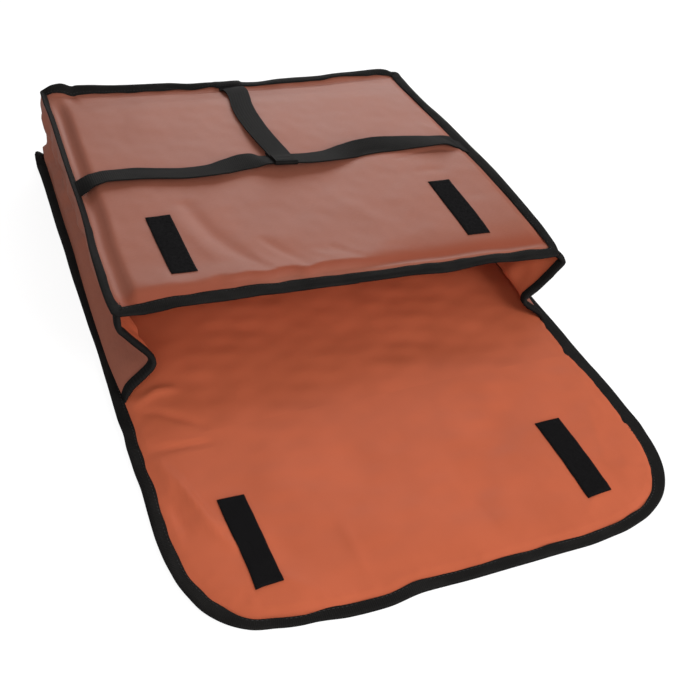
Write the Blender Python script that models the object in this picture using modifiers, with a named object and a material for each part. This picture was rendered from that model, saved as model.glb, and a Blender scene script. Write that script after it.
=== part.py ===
"""Insulated carrying bag for flat boxes: a padded base that runs on into a closing flap,
a padded lid on folding side gussets, a padded back wall, bound edges, and a webbing handle.
Metres, +Z up, mouth and flap towards -Y, origin on the floor under the middle."""

import math

import bmesh
import bpy
from mathutils import Vector

# Overall sizes
WIDTH = 0.466
BASE_DEPTH = 0.428
FLAP_LENGTH = 0.260
FLAP_WALL_LENGTH = 0.104
LID_DEPTH = 0.392
LID_REAR_HEIGHT = 0.0835
LID_FRONT_HEIGHT = 0.0700
LEAN = 0.011
FLAP_CORNER_RADIUS = 0.092
PANEL_CORNER_RADIUS = 0.014
SQUARE_CORNER_RADIUS = 0.003
SMALLEST_RADIUS = 0.002
CORNER_ROOM_SHARE = 0.98

# Cloth, foam and tape thicknesses
GAP = 0.0003
COVER_THICKNESS = 0.0010
LINING_THICKNESS = 0.0008
TAPE_THICKNESS = 0.0008
FOAM_THICKNESS = 0.0060
LID_FOAM_THICKNESS = 0.0080
BACK_FOAM_THICKNESS = 0.0050
LID_SAG = 0.0012

# Bound edges and padded fields
TAPE_WIDTH = 0.0095
FIELD_MARGIN = 0.0110
FIELD_SLOPE = 0.0180
SLOPE_KNEE_SHARE = 0.45
KNEE_RISE_SHARE = 0.65
FOAM_SETBACK = 0.0030

# Side gussets, folded inwards at the mouth
MOUTH_SETBACK = 0.0060
LID_OVERHANG = 0.0020
FOLD_DEPTH = 0.0330
REAR_FOLD_DEPTH = 0.0040
FOLD_HEIGHT_SHARE = 0.23
FOLD_ROUNDING_SHARE = 0.22
FOLD_FADE_POWER = 1.4
MOUTH_TAPE_GAP = 0.0006
MOUTH_TAPE_START_SHARE = 0.05
MOUTH_TAPE_END_SHARE = 0.96
TANGENT_SHARE = 0.001
GUSSET_SHIFT = 0.0006
SEAM_GAP = 0.0005

# Fastening strips
STRIP_WIDTH = 0.0245
STRIP_LENGTH = 0.0940
STRIP_THICKNESS = 0.0014
HOOK_START = 0.1275
HOOK_SIDE_MARGIN = 0.06825
HOOK_OFFSET = -0.0140
LOOP_START = 0.0354
LOOP_SIDE_MARGIN = 0.06575
LOOP_OFFSET = -0.0090

# Webbing handle
WEBBING_WIDTH = 0.0250
WEBBING_THICKNESS = 0.0016
CROSS_STRAP_FRONT_DISTANCE = 0.1960
REAR_STRAP_OFFSET = -0.0120
HANDLE_CLEARANCE = 0.0130
SLEEVE_LENGTH = 0.0290
SLEEVE_WALL = 0.0016
SLEEVE_GAP = 0.0006

ARC_STEPS = 6
WIDE_ARC_STEPS = 12

# Heights inside one bound panel, from the underside of its tape
RIM_LOWER = TAPE_THICKNESS + GAP
FOLD_Y = (FLAP_LENGTH - BASE_DEPTH) / 2
REAR_Y = FOLD_Y + BASE_DEPTH
BASE_X = -LEAN / 2
LID_X = LEAN / 2
BOUND_THICKNESS = 2 * RIM_LOWER + COVER_THICKNESS + GAP + LINING_THICKNESS
BACK_THICKNESS = COVER_THICKNESS + BACK_FOAM_THICKNESS + LINING_THICKNESS + 2 * GAP
HINGE_Y = REAR_Y - GAP - BACK_THICKNESS / 2
LID_REACH = LID_DEPTH - (REAR_Y - HINGE_Y)
LID_TILT = math.asin((LID_REAR_HEIGHT - LID_FRONT_HEIGHT) / LID_DEPTH)

COLOURS = {
    "cover": ((0.33, 0.15, 0.12, 1.0), 0.55),
    "lining": ((0.60, 0.15, 0.07, 1.0), 0.60),
    "foam": ((0.85, 0.85, 0.82, 1.0), 0.90),
    "tape": ((0.012, 0.012, 0.012, 1.0), 0.80),
    "webbing": ((0.025, 0.025, 0.024, 1.0), 0.75),
    "fastener": ((0.010, 0.010, 0.012, 1.0), 0.95),
}


def clear_scene():
    """Empty the startup scene."""
    for obj in list(bpy.data.objects):
        bpy.data.objects.remove(obj, do_unlink=True)
    for collection in list(bpy.data.collections):
        bpy.data.collections.remove(collection)


def make_collection(name):
    """Return a new collection linked to the scene."""
    collection = bpy.data.collections.new(name)
    bpy.context.scene.collection.children.link(collection)
    return collection


def make_material(name, kind):
    """Return the material of one piece, with the colour and roughness of its kind."""
    colour, roughness = COLOURS[kind]
    material = bpy.data.materials.new(name)
    material.use_nodes = True
    shader = material.node_tree.nodes["Principled BSDF"]
    shader.inputs["Base Color"].default_value = colour
    shader.inputs["Roughness"].default_value = roughness
    shader.inputs["Metallic"].default_value = 0.0
    material.diffuse_color = colour
    return material


def add_frame(name, location, tilt=0.0):
    """Add an empty that carries one moving group, with its origin on the group's fold."""
    frame = bpy.data.objects.new(name, None)
    frame.location = location
    frame.rotation_euler.x = tilt
    PARTS.objects.link(frame)
    return frame


def add_piece(name, data, kind, parent=None):
    """Add one piece of the bag, with its own material."""
    piece = bpy.data.objects.new(name, data)
    data.materials.append(make_material(name, kind))
    piece.parent = parent
    PARTS.objects.link(piece)
    return piece


def mesh_from(name, bm):
    """Turn a bmesh into a mesh with its faces pointing one way."""
    bmesh.ops.recalc_face_normals(bm, faces=bm.faces)
    mesh = bpy.data.meshes.new(name)
    bm.to_mesh(mesh)
    bm.free()
    return mesh


def thicken(piece, thickness, grows_up=True):
    """Give an open sheet its cloth thickness, above or below the sheet."""
    solidify = piece.modifiers.new("Thickness", "SOLIDIFY")
    solidify.thickness = thickness
    solidify.offset = 1.0 if grows_up else -1.0
    solidify.use_even_offset = True


def fitted_radii(box, radii):
    """Corner radii, made smaller alike where the sides are too short for them."""
    x0, x1, y0, y1 = box
    room = min((x1 - x0) / (radii[0] + radii[1]), (y1 - y0) / (radii[0] + radii[3]))
    return [radius * min(1.0, room * CORNER_ROOM_SHARE) for radius in radii]


def rounded_outline(box, radii, steps):
    """Corner points of a rectangle (x0, x1, y0, y1) with one radius for each corner,
    anticlockwise from the front left."""
    x0, x1, y0, y1 = box
    radii = fitted_radii(box, radii)
    corners = ((x0, y0, 1, 1, 180), (x1, y0, -1, 1, 270), (x1, y1, -1, -1, 0), (x0, y1, 1, -1, 90))
    points = []
    for (x, y, inward_x, inward_y, start), radius in zip(corners, radii):
        centre = (x + inward_x * radius, y + inward_y * radius)
        for step in range(steps + 1):
            angle = math.radians(start + 90 * step / steps)
            points.append((centre[0] + radius * math.cos(angle), centre[1] + radius * math.sin(angle)))
    return points


def inset_box(box, distance):
    """The same rectangle with every side moved in by a distance."""
    x0, x1, y0, y1 = box
    return (x0 + distance, x1 - distance, y0 + distance, y1 - distance)


def inset_radii(radii, distance):
    """Corner radii after the sides have moved in."""
    return [max(radius - distance, SMALLEST_RADIUS) for radius in radii]


def loft(rings, closed_start=False, closed_end=True):
    """Join rings of points with as many points each, and fill the ends that are asked for."""
    bm = bmesh.new()
    loops = []
    for ring in rings:
        verts = [bm.verts.new(point) for point in ring]
        loops.append([bm.edges.new((a, b)) for a, b in zip(verts, verts[1:] + verts[:1])])
    for lower, upper in zip(loops, loops[1:]):
        bmesh.ops.bridge_loops(bm, edges=lower + upper)
    if closed_start:
        bmesh.ops.contextual_create(bm, geom=loops[0])
    if closed_end:
        bmesh.ops.contextual_create(bm, geom=loops[-1])
    return bm


def panel_rings(box, radii, steps, levels):
    """Rings of a padded panel's sheet: each level is a distance in from the edge and a height."""
    rings = []
    for distance, height in levels:
        outline = rounded_outline(inset_box(box, distance), inset_radii(radii, distance), steps)
        rings.append([(x, y, height) for x, y in outline])
    return rings


def skin_levels(rim_height, field_height):
    """Levels of a skin that leaves the bound rim and swells over the foam."""
    rise = field_height - rim_height
    knee = FIELD_MARGIN + FIELD_SLOPE * SLOPE_KNEE_SHARE
    return (
        (RIM_LOWER, rim_height),
        (FIELD_MARGIN, rim_height),
        (knee, rim_height + rise * KNEE_RISE_SHARE),
        (FIELD_MARGIN + FIELD_SLOPE, field_height),
    )


def add_skin(name, kind, parent, box, radii, steps, rim_height, field_height, thickness, upper):
    """Add a cloth skin. An upper skin has its cloth above the sheet, a lower one below it."""
    rings = panel_rings(box, radii, steps, skin_levels(rim_height, field_height))
    mesh = mesh_from(name, loft(rings))
    piece = add_piece(name, mesh, kind, parent)
    faces_up = mesh.polygons[len(mesh.polygons) - 1].normal.z > 0
    thicken(piece, thickness, grows_up=(faces_up == upper))
    return piece


def add_foam(name, parent, box, radii, steps, bottom, top):
    """Add a foam sheet with bevelled edges."""
    knee = FIELD_MARGIN + FIELD_SLOPE * SLOPE_KNEE_SHARE + FOAM_SETBACK
    end = FIELD_MARGIN + FIELD_SLOPE
    middle = bottom + (top - bottom) * KNEE_RISE_SHARE
    levels = ((end, bottom), (knee, bottom + 2 * GAP), (knee, middle), (end, top))
    rings = panel_rings(box, radii, steps, levels)
    return add_piece(name, mesh_from(name, loft(rings, closed_start=True)), "foam", parent)


def add_flat_panel(prefix, parent, box, radii, steps):
    """Add a padded panel that lies on its cover, with its lining on top: cover, foam, lining."""
    lining_rim = RIM_LOWER + COVER_THICKNESS + GAP
    foam_bottom = COVER_THICKNESS + GAP
    foam_top = foam_bottom + FOAM_THICKNESS
    add_skin(
        prefix + "_outer_cover", "cover", parent, box, radii, steps,
        RIM_LOWER, 0.0, COVER_THICKNESS, upper=True,
    )
    add_foam(prefix + "_foam", parent, box, radii, steps, foam_bottom, foam_top)
    add_skin(
        prefix + "_lining", "lining", parent, box, radii, steps,
        lining_rim, foam_top + GAP, LINING_THICKNESS, upper=True,
    )


def tape_profile():
    """The folded tape's section: a channel that opens towards -X, on the edge at X = 0."""
    height = BOUND_THICKNESS
    tape = TAPE_THICKNESS
    return (
        (-TAPE_WIDTH, tape), (-tape, tape), (-tape, height - tape), (-TAPE_WIDTH, height - tape),
        (-TAPE_WIDTH, height), (0.0, height), (0.0, 0.0), (-TAPE_WIDTH, 0.0),
    )


def add_section(name, points):
    """Add a closed section curve to the guides."""
    curve = bpy.data.curves.new(name, "CURVE")
    curve.dimensions = "2D"
    spline = curve.splines.new("POLY")
    spline.points.add(len(points) - 1)
    for point, (x, y) in zip(spline.points, points):
        point.co = (x, y, 0.0, 1.0)
    spline.use_cyclic_u = True
    section = bpy.data.objects.new(name, curve)
    section.hide_render = True
    section.display_type = "WIRE"
    GUIDES.objects.link(section)
    return section


def add_sweep(name, kind, parent, section, path):
    """Sweep a section along a path of points."""
    curve = bpy.data.curves.new(name, "CURVE")
    curve.dimensions = "3D"
    curve.twist_mode = "Z_UP"
    curve.bevel_mode = "OBJECT"
    curve.bevel_object = section
    curve.use_fill_caps = True
    spline = curve.splines.new("POLY")
    spline.points.add(len(path) - 1)
    for point, place in zip(spline.points, path):
        point.co = (*place, 1.0)
    return add_piece(name, curve, kind, parent)


def add_tape(name, parent, path, height=0.0):
    """Bind an edge whose path runs anticlockwise round its panel."""
    return add_sweep(name, "tape", parent, TAPE_SECTION, [(x, y, height) for x, y in path])


def side_paths(box, radii, steps):
    """Paths along the four sides of a panel, anticlockwise. The front and rear ones take in
    their rounded corners, and the left and right ones run straight between them."""
    outline = rounded_outline(box, radii, steps)
    count = steps + 1
    x0, x1, *_ = box
    front_left, front_right = outline[0][1] + TAPE_WIDTH, outline[2 * count - 1][1] + TAPE_WIDTH
    rear_right, rear_left = outline[2 * count][1] - TAPE_WIDTH, outline[-1][1] - TAPE_WIDTH
    return {
        "front": [(x0, front_left), *outline[: 2 * count], (x1, front_right)],
        "right": ((x1, front_right + GAP), (x1, rear_right - GAP)),
        "rear": [(x1, rear_right), *outline[2 * count :], (x0, rear_left)],
        "left": ((x0, rear_left - GAP), (x0, front_left + GAP)),
    }


def add_base():
    """The padded base, which stands on the floor, with tape on its sides and rear."""
    box = (BASE_X - WIDTH / 2, BASE_X + WIDTH / 2, FOLD_Y + GAP / 2, REAR_Y)
    radii = [SQUARE_CORNER_RADIUS] * 2 + [PANEL_CORNER_RADIUS] * 2
    add_flat_panel("base", None, box, radii, ARC_STEPS)
    sides = side_paths(box, radii, ARC_STEPS)
    x0, x1, y0, _ = box
    add_tape("base_rear_binding", None, sides["rear"])
    add_tape("base_right_binding", None, ((x1, y0), sides["right"][1]))
    add_tape("base_left_binding", None, (sides["left"][0], (x0, y0)))


def add_flap():
    """The closing flap: the wall that stands before the mouth, and the tip that lies on the lid."""
    fold_height = BOUND_THICKNESS
    wall_frame = add_frame("flap_wall_frame", (BASE_X, FOLD_Y, fold_height))
    tip_frame = add_frame("flap_tip_frame", (0.0, -FLAP_WALL_LENGTH, 0.0))
    tip_frame.parent = wall_frame
    half = WIDTH / 2
    for prefix, frame, length in (
        ("flap_wall", wall_frame, FLAP_WALL_LENGTH),
        ("flap_tip", tip_frame, FLAP_LENGTH - FLAP_WALL_LENGTH),
    ):
        drop = add_frame(prefix + "_floor", (0.0, 0.0, -fold_height))
        drop.parent = frame
        if prefix == "flap_wall":
            box = (-half, half, -length + GAP / 2, -GAP / 2)
            add_flat_panel(prefix, drop, box, [SQUARE_CORNER_RADIUS] * 4, ARC_STEPS)
            x0, x1, y0, y1 = box
            add_tape("flap_wall_right_binding", drop, ((x1, y0), (x1, y1)))
            add_tape("flap_wall_left_binding", drop, ((x0, y1), (x0, y0)))
        else:
            box = (-half, half, -length, -GAP / 2)
            radii = [FLAP_CORNER_RADIUS] * 2 + [SQUARE_CORNER_RADIUS] * 2
            add_flat_panel(prefix, drop, box, radii, WIDE_ARC_STEPS)
            front = rounded_outline(box, radii, WIDE_ARC_STEPS)[: 2 * (WIDE_ARC_STEPS + 1)]
            add_tape("flap_tip_binding", drop, [(-half, -GAP / 2), *front, (half, -GAP / 2)])
            add_hook_strips(drop)


def add_strips(prefix, parent, side_margin, offset, rear, height):
    """Two fastening strips side by side, as far from the panel's sides but for the offset."""
    reach = WIDTH / 2 - side_margin - STRIP_WIDTH / 2
    for side_name, side in (("left", -1), ("right", 1)):
        name = f"{prefix}_strip_{side_name}"
        bm = bmesh.new()
        bmesh.ops.create_cube(bm, size=1.0)
        bmesh.ops.scale(bm, vec=(STRIP_WIDTH, STRIP_LENGTH, STRIP_THICKNESS), verts=bm.verts)
        centre = (offset + side * reach, rear - STRIP_LENGTH / 2, height + STRIP_THICKNESS / 2)
        bmesh.ops.translate(bm, vec=centre, verts=bm.verts)
        add_piece(name, mesh_from(name, bm), "fastener", parent)


def add_hook_strips(parent):
    """Two hook strips on the flap tip's lining."""
    height = COVER_THICKNESS + FOAM_THICKNESS + LINING_THICKNESS + 3 * GAP
    rear = FLAP_WALL_LENGTH - HOOK_START
    add_strips("hook", parent, HOOK_SIDE_MARGIN, HOOK_OFFSET, rear, height)


def lid_heights():
    """Heights of the lid's layers, from the underside of its tape."""
    lining_field = -LID_SAG
    foam_bottom = lining_field + LINING_THICKNESS + GAP
    foam_top = foam_bottom + LID_FOAM_THICKNESS
    cover_field = foam_top + GAP
    cover_rim = RIM_LOWER + LINING_THICKNESS + GAP
    return lining_field, foam_bottom, foam_top, cover_field, cover_rim


def add_lid():
    """The padded lid, which turns on the seam at the top of the back wall."""
    seam_height = LID_REAR_HEIGHT - BOUND_THICKNESS / 2
    frame = add_frame("lid_frame", (LID_X, HINGE_Y, seam_height), LID_TILT)
    half = WIDTH / 2
    box = (-half, half, -LID_REACH, LID_DEPTH - LID_REACH)
    radii = [PANEL_CORNER_RADIUS] * 4
    lining_field, foam_bottom, foam_top, cover_field, cover_rim = lid_heights()
    add_skin(
        "top_lining", "lining", frame, box, radii, ARC_STEPS,
        RIM_LOWER, lining_field, LINING_THICKNESS, upper=True,
    )
    add_foam("top_foam", frame, box, radii, ARC_STEPS, foam_bottom, foam_top)
    add_skin(
        "top_outer_cover", "cover", frame, box, radii, ARC_STEPS,
        cover_rim, cover_field, COVER_THICKNESS, upper=True,
    )
    for side, path in side_paths(box, radii, ARC_STEPS).items():
        add_tape(f"top_{side}_binding", frame, path)
    strip_height = cover_field + COVER_THICKNESS + GAP
    rear = -LID_REACH + LOOP_START + STRIP_LENGTH
    add_strips("loop", frame, LOOP_SIDE_MARGIN, LOOP_OFFSET, rear, strip_height)
    add_handle(frame)


def strap_stations(reach, rim_top, field_top):
    """Distance from the bound edge and underside height of a strap that leaves a binding,
    climbs over the padded edge and arches clear of the field."""
    rise = field_top - rim_top
    slope_start = FIELD_MARGIN - TAPE_WIDTH
    stations = [
        (0.0, 0.0),
        (slope_start, 0.0),
        (slope_start + FIELD_SLOPE * SLOPE_KNEE_SHARE, rise * KNEE_RISE_SHARE),
    ]
    field_start = slope_start + FIELD_SLOPE
    for step in range(ARC_STEPS + 1):
        share = step / ARC_STEPS
        lift = HANDLE_CLEARANCE * math.sin(math.radians(90 * share))
        stations.append((field_start + (reach - field_start) * share, rise + lift))
    return [(along, rim_top + GAP + height) for along, height in stations]


def add_strap(name, parent, stations, place):
    """A webbing strap as a thick ribbon: place turns a station's distance along the strap and
    a side, -1 or 1, into a point on one of its edges."""
    bm = bmesh.new()
    edges = []
    first, second = (bm.verts.new(place(*stations[0], side)) for side in (-1, 1))
    edges.append(bm.edges.new((first, second)))
    for along, height in stations[1:]:
        new = bmesh.ops.extrude_edge_only(bm, edges=edges[-1:])["geom"]
        verts = [item for item in new if isinstance(item, bmesh.types.BMVert)]
        edges += [item for item in new if isinstance(item, bmesh.types.BMEdge)]
        low, high = Vector(place(along, height, -1)), Vector(place(along, height, 1))
        middle = (low + high) / 2
        for vert in verts:
            near_low = (vert.co - middle).dot(low - middle) > 0
            vert.co = low if near_low else high
    mesh = mesh_from(name, bm)
    piece = add_piece(name, mesh, "webbing", parent)
    thicken(piece, WEBBING_THICKNESS, grows_up=mesh.polygons[0].normal.z > 0)


def add_handle(frame):
    """The cross strap and rear strap, sewn into the lid's bindings, and the folded end of the
    rear strap that goes round the cross strap and lifts with the hand."""
    *_, cover_field, cover_rim = lid_heights()
    rim_top = cover_rim + COVER_THICKNESS
    field_top = cover_field + COVER_THICKNESS
    edge = WIDTH / 2 - TAPE_WIDTH - GAP
    strap_y = -LID_REACH + CROSS_STRAP_FRONT_DISTANCE
    half_width = WEBBING_WIDTH / 2
    reach = edge
    left = strap_stations(edge + REAR_STRAP_OFFSET, rim_top, field_top)
    right = strap_stations(edge - REAR_STRAP_OFFSET, rim_top, field_top)
    cross = [(along - reach, height) for along, height in left]
    cross += [(reach - along, height) for along, height in reversed(right[:-1])]
    add_strap(
        "cross_strap", frame, cross,
        lambda along, height, side: (along, strap_y + side * half_width, height),
    )
    sleeve_half = WEBBING_WIDTH / 2 + SLEEVE_GAP + SLEEVE_WALL
    rear_edge = LID_DEPTH - LID_REACH - TAPE_WIDTH - GAP
    rear_reach = rear_edge - (strap_y + sleeve_half + GAP)
    rear = strap_stations(rear_reach, rim_top, field_top)
    add_strap(
        "rear_strap", frame, rear,
        lambda along, height, side: (REAR_STRAP_OFFSET + side * half_width, rear_edge - along, height),
    )
    strap_bottom = rim_top + GAP + (field_top - rim_top) + HANDLE_CLEARANCE
    add_sleeve(frame, (REAR_STRAP_OFFSET, strap_y, strap_bottom + WEBBING_THICKNESS / 2))


def add_sleeve(frame, centre):
    """The folded webbing sleeve: a block with a slot through it for the cross strap."""
    handle_frame = add_frame("handle_frame", centre)
    handle_frame.parent = frame
    inner = (SLEEVE_LENGTH * 2, WEBBING_WIDTH + 2 * SLEEVE_GAP, WEBBING_THICKNESS + 2 * SLEEVE_GAP)
    outer = (SLEEVE_LENGTH, inner[1] + 2 * SLEEVE_WALL, inner[2] + 2 * SLEEVE_WALL)
    solids = []
    for name, size in (("handle_sleeve", outer), ("sleeve_slot", inner)):
        bm = bmesh.new()
        bmesh.ops.create_cube(bm, size=1.0)
        bmesh.ops.scale(bm, vec=size, verts=bm.verts)
        solids.append(mesh_from(name, bm))
    sleeve = add_piece("handle_sleeve", solids[0], "webbing", handle_frame)
    slot = bpy.data.objects.new("sleeve_slot", solids[1])
    slot.parent = handle_frame
    slot.hide_render = True
    slot.display_type = "WIRE"
    GUIDES.objects.link(slot)
    cut = sleeve.modifiers.new("Slot", "BOOLEAN")
    cut.operation = "DIFFERENCE"
    cut.object = slot


def lid_underside(y):
    """Height of the underside of the lid's side tapes above a point of the depth."""
    seam_height = LID_REAR_HEIGHT - BOUND_THICKNESS / 2
    return seam_height - (HINGE_Y - y) * math.tan(LID_TILT)


def mouth_line():
    """Lower and upper end of the gussets' mouth edge, as pairs of depth and height."""
    lower = (FOLD_Y + MOUTH_SETBACK, BOUND_THICKNESS + GAP + COVER_THICKNESS)
    upper_y = HINGE_Y - LID_REACH * math.cos(LID_TILT) + LID_OVERHANG
    return lower, (upper_y, lid_underside(upper_y) - GAP - COVER_THICKNESS)


def crease_profile(height_share):
    """How far in the gusset is folded at a height, from 0 at its seams to about 1 at the crease."""
    below = height_share / FOLD_HEIGHT_SHARE
    above = (1 - height_share) / (1 - FOLD_HEIGHT_SHARE)
    return (below + above - math.hypot(below - above, FOLD_ROUNDING_SHARE)) / 2


def gusset_point(side, depth_share, height_share, shift):
    """A point on a side gusset's sheet: folded in along a crease that is deepest at the mouth."""
    lower, upper = mouth_line()
    inner_y = HINGE_Y - BACK_THICKNESS / 2 - GAP
    mouth_y = lower[0] + (upper[0] - lower[0]) * height_share + TAPE_THICKNESS + MOUTH_TAPE_GAP
    y = mouth_y + (inner_y - mouth_y) * depth_share
    edge = side * (WIDTH / 2 - TAPE_WIDTH / 2)
    fade = (1 - depth_share) ** FOLD_FADE_POWER
    inset = REAR_FOLD_DEPTH + (FOLD_DEPTH - REAR_FOLD_DEPTH) * fade
    lean_x = BASE_X + (LID_X - BASE_X) * height_share
    x = lean_x + edge - side * (inset * crease_profile(height_share) - shift)
    bottom = lower[1]
    top = lid_underside(y) - GAP - COVER_THICKNESS
    return (x, y, bottom + (top - bottom) * height_share)


def gusset_rows():
    """Height shares of a gusset's rows, close together round its crease."""
    near = FOLD_ROUNDING_SHARE * FOLD_HEIGHT_SHARE
    crease = [FOLD_HEIGHT_SHARE + near * step for step in (-2, -1, 0, 1, 2, 4)]
    middle = (crease[-1] + 1) / 2
    return [0.0, *crease, middle, 1.0]


def add_gusset(side_name, side):
    """A side gusset: outer cover, lining and the tape on its mouth edge."""
    rows = gusset_rows()
    for part, kind, thickness, outward in (
        ("outer_cover", "cover", COVER_THICKNESS, 1),
        ("lining", "lining", LINING_THICKNESS, -1),
    ):
        name = f"{side_name}_gusset_{part}"
        bm = bmesh.new()
        bmesh.ops.create_grid(bm, x_segments=2 * ARC_STEPS, y_segments=len(rows) - 1, size=0.5)
        for vert in bm.verts:
            depth_share = vert.co.x + 0.5
            row = rows[round((vert.co.y + 0.5) * (len(rows) - 1))]
            vert.co = gusset_point(side, depth_share, row, outward * GUSSET_SHIFT)
        mesh = mesh_from(name, bm)
        piece = add_piece(name, mesh, kind)
        points_outward = mesh.polygons[0].normal.x * side > 0
        thicken(piece, thickness, grows_up=(points_outward == (outward > 0)))
    add_mouth_tape(side_name, side, rows)


def mouth_tape_profile():
    """The mouth tape's section, as distances behind the gusset's edge and off its sheet: a
    channel that opens away from the mouth, round both skins."""
    half = GUSSET_SHIFT + COVER_THICKNESS + MOUTH_TAPE_GAP + TAPE_THICKNESS
    inner = half - TAPE_THICKNESS
    web = -MOUTH_TAPE_GAP
    front = web - TAPE_THICKNESS
    end = front + TAPE_WIDTH
    return (
        (end, -half), (front, -half), (front, half), (end, half),
        (end, inner), (web, inner), (web, -inner), (end, -inner),
    )


def mouth_tape_ring(side, height_share):
    """The mouth tape's section laid square to the gusset's folded edge at one height."""
    step = TANGENT_SHARE
    lower = Vector(gusset_point(side, 0.0, height_share - step, 0.0))
    upper = Vector(gusset_point(side, 0.0, height_share + step, 0.0))
    along = (upper - lower).normalized()
    across = Vector((along.z, 0.0, -along.x)).normalized()
    rear_y, front_y = (gusset_point(side, share, height_share, 0.0)[1] for share in (1.0, 0.0))
    sheet_depth = rear_y - front_y
    ring = []
    for behind, off in mouth_tape_profile():
        point = Vector(gusset_point(side, behind / sheet_depth, height_share, 0.0))
        ring.append(point + across * off)
    return ring


def add_mouth_tape(side_name, side, rows):
    """Tape round the mouth edge of a gusset, along its fold."""
    shares = [MOUTH_TAPE_START_SHARE, *rows[1:-1], MOUTH_TAPE_END_SHARE]
    rings = [mouth_tape_ring(side, share) for share in shares]
    name = f"{side_name}_mouth_binding"
    add_piece(name, mesh_from(name, loft(rings, closed_start=True)), "tape")


def add_back_wall():
    """The padded back wall, between the base's rear tape and the lid's rear seam."""
    bottom = BOUND_THICKNESS + GAP
    top = LID_REAR_HEIGHT - BOUND_THICKNESS / 2 - SEAM_GAP
    inner = HINGE_Y - BACK_THICKNESS / 2
    layers = (
        ("back_lining", "lining", LINING_THICKNESS, GAP),
        ("back_foam", "foam", BACK_FOAM_THICKNESS, FIELD_MARGIN),
        ("back_outer_cover", "cover", COVER_THICKNESS, GAP),
    )
    for name, kind, thickness, margin in layers:
        bm = bmesh.new()
        bmesh.ops.create_cube(bm, size=1.0)
        width = WIDTH - 2 * (TAPE_THICKNESS + margin)
        bmesh.ops.scale(bm, vec=(width, thickness, top - bottom), verts=bm.verts)
        for vert in bm.verts:
            vert.co.x += LID_X if vert.co.z > 0 else BASE_X
        centre = (0.0, inner + thickness / 2, (top + bottom) / 2)
        bmesh.ops.translate(bm, vec=centre, verts=bm.verts)
        add_piece(name, mesh_from(name, bm), kind)
        inner += thickness + GAP


clear_scene()
PARTS = make_collection("pizza_delivery_bag")
GUIDES = make_collection("guides")
TAPE_SECTION = add_section("tape_section", tape_profile())
add_base()
add_flap()
add_back_wall()
add_gusset("left", -1)
add_gusset("right", 1)
add_lid()
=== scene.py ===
"""Looks of the insulated carrying bag for flat boxes: padded lid, folding side gussets,
padded base that runs on into the closing flap, bound edges, fastening strips and handle.

Metres, +Z up, mouth and flap towards -Y. Tables marked mm are in millimetres."""

import logging
import math
from collections.abc import Callable, Sequence
from dataclasses import dataclass, field
from enum import Enum, IntEnum

import bmesh
import bpy
import numpy as np
from mathutils import Matrix, Vector


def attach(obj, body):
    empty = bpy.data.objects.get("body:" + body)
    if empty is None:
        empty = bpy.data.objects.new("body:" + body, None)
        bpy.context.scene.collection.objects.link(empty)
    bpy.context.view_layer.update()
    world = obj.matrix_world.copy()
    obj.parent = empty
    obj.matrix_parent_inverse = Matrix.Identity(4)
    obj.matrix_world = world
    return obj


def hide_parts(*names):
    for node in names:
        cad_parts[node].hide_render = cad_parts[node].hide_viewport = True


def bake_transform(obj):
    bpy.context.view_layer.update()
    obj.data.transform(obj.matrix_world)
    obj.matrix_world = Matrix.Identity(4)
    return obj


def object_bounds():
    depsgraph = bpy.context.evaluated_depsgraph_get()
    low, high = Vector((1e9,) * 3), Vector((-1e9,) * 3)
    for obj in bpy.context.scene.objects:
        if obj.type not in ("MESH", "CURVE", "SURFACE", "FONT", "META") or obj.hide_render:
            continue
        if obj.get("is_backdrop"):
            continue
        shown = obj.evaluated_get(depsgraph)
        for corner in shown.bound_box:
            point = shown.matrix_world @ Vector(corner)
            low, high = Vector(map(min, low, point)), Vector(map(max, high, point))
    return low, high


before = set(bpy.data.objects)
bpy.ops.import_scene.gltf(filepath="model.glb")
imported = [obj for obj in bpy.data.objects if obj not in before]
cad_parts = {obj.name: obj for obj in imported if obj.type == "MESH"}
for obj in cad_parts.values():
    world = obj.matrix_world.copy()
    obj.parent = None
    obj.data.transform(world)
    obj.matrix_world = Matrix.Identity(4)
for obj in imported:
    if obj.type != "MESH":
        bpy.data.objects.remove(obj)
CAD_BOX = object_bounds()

LOG = logging.getLogger("bag")
MM = 0.001
COVER_CLOTH = 0.0010
THIN_CLOTH = 0.0008
UV_NAME = "Cloth"
Array = np.ndarray
Grid = bmesh.types.BMesh
Verts = Sequence[bmesh.types.BMVert]
Piece = bpy.types.Object
Span = tuple[float, float]
Triple = tuple[float, float, float]
Row = tuple[float, float, float, float]
Pairs = tuple[Span, ...]
Line = Sequence[Sequence[float]]
Surface = Callable[[Array, Array], Array]
Lay = Callable[[Array, Array, Array], Array]
Fit = Callable[[Array, Array], tuple[Array, Array, Array]]
Facing = Callable[[Vector], Vector]
Edge = tuple[str, list[Span], list[str]]
Rail = tuple[Array, Array, Array]


# ---- shape helpers


def smooth_share(value: Array, start: float, end: float) -> Array:
    """Rises smoothly from 0 at start to 1 at end.

    Args:
        value: Places to read.
        start: Place where the share is 0.
        end: Place where the share is 1.

    Returns:
        The share at each place.
    """
    share = np.clip((value - start) / (end - start), 0.0, 1.0)
    return share * share * (3.0 - 2.0 * share)


def near_edge(value: Array, edge: float, span: Span) -> Array:
    """Share that rises from 0 to 1 on the way to an edge.

    Args:
        value: Places to read.
        edge: Place of the edge.
        span: Distances before the edge where the share is 0 and where it is 1.

    Returns:
        The share at each place.
    """
    return smooth_share(value, edge - span[0], edge - span[1])


def mixed(first: Array, second: Array, share: Array) -> Array:
    """Goes from the first values to the second as the share goes from 0 to 1."""
    return first + (second - first) * share


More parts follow.
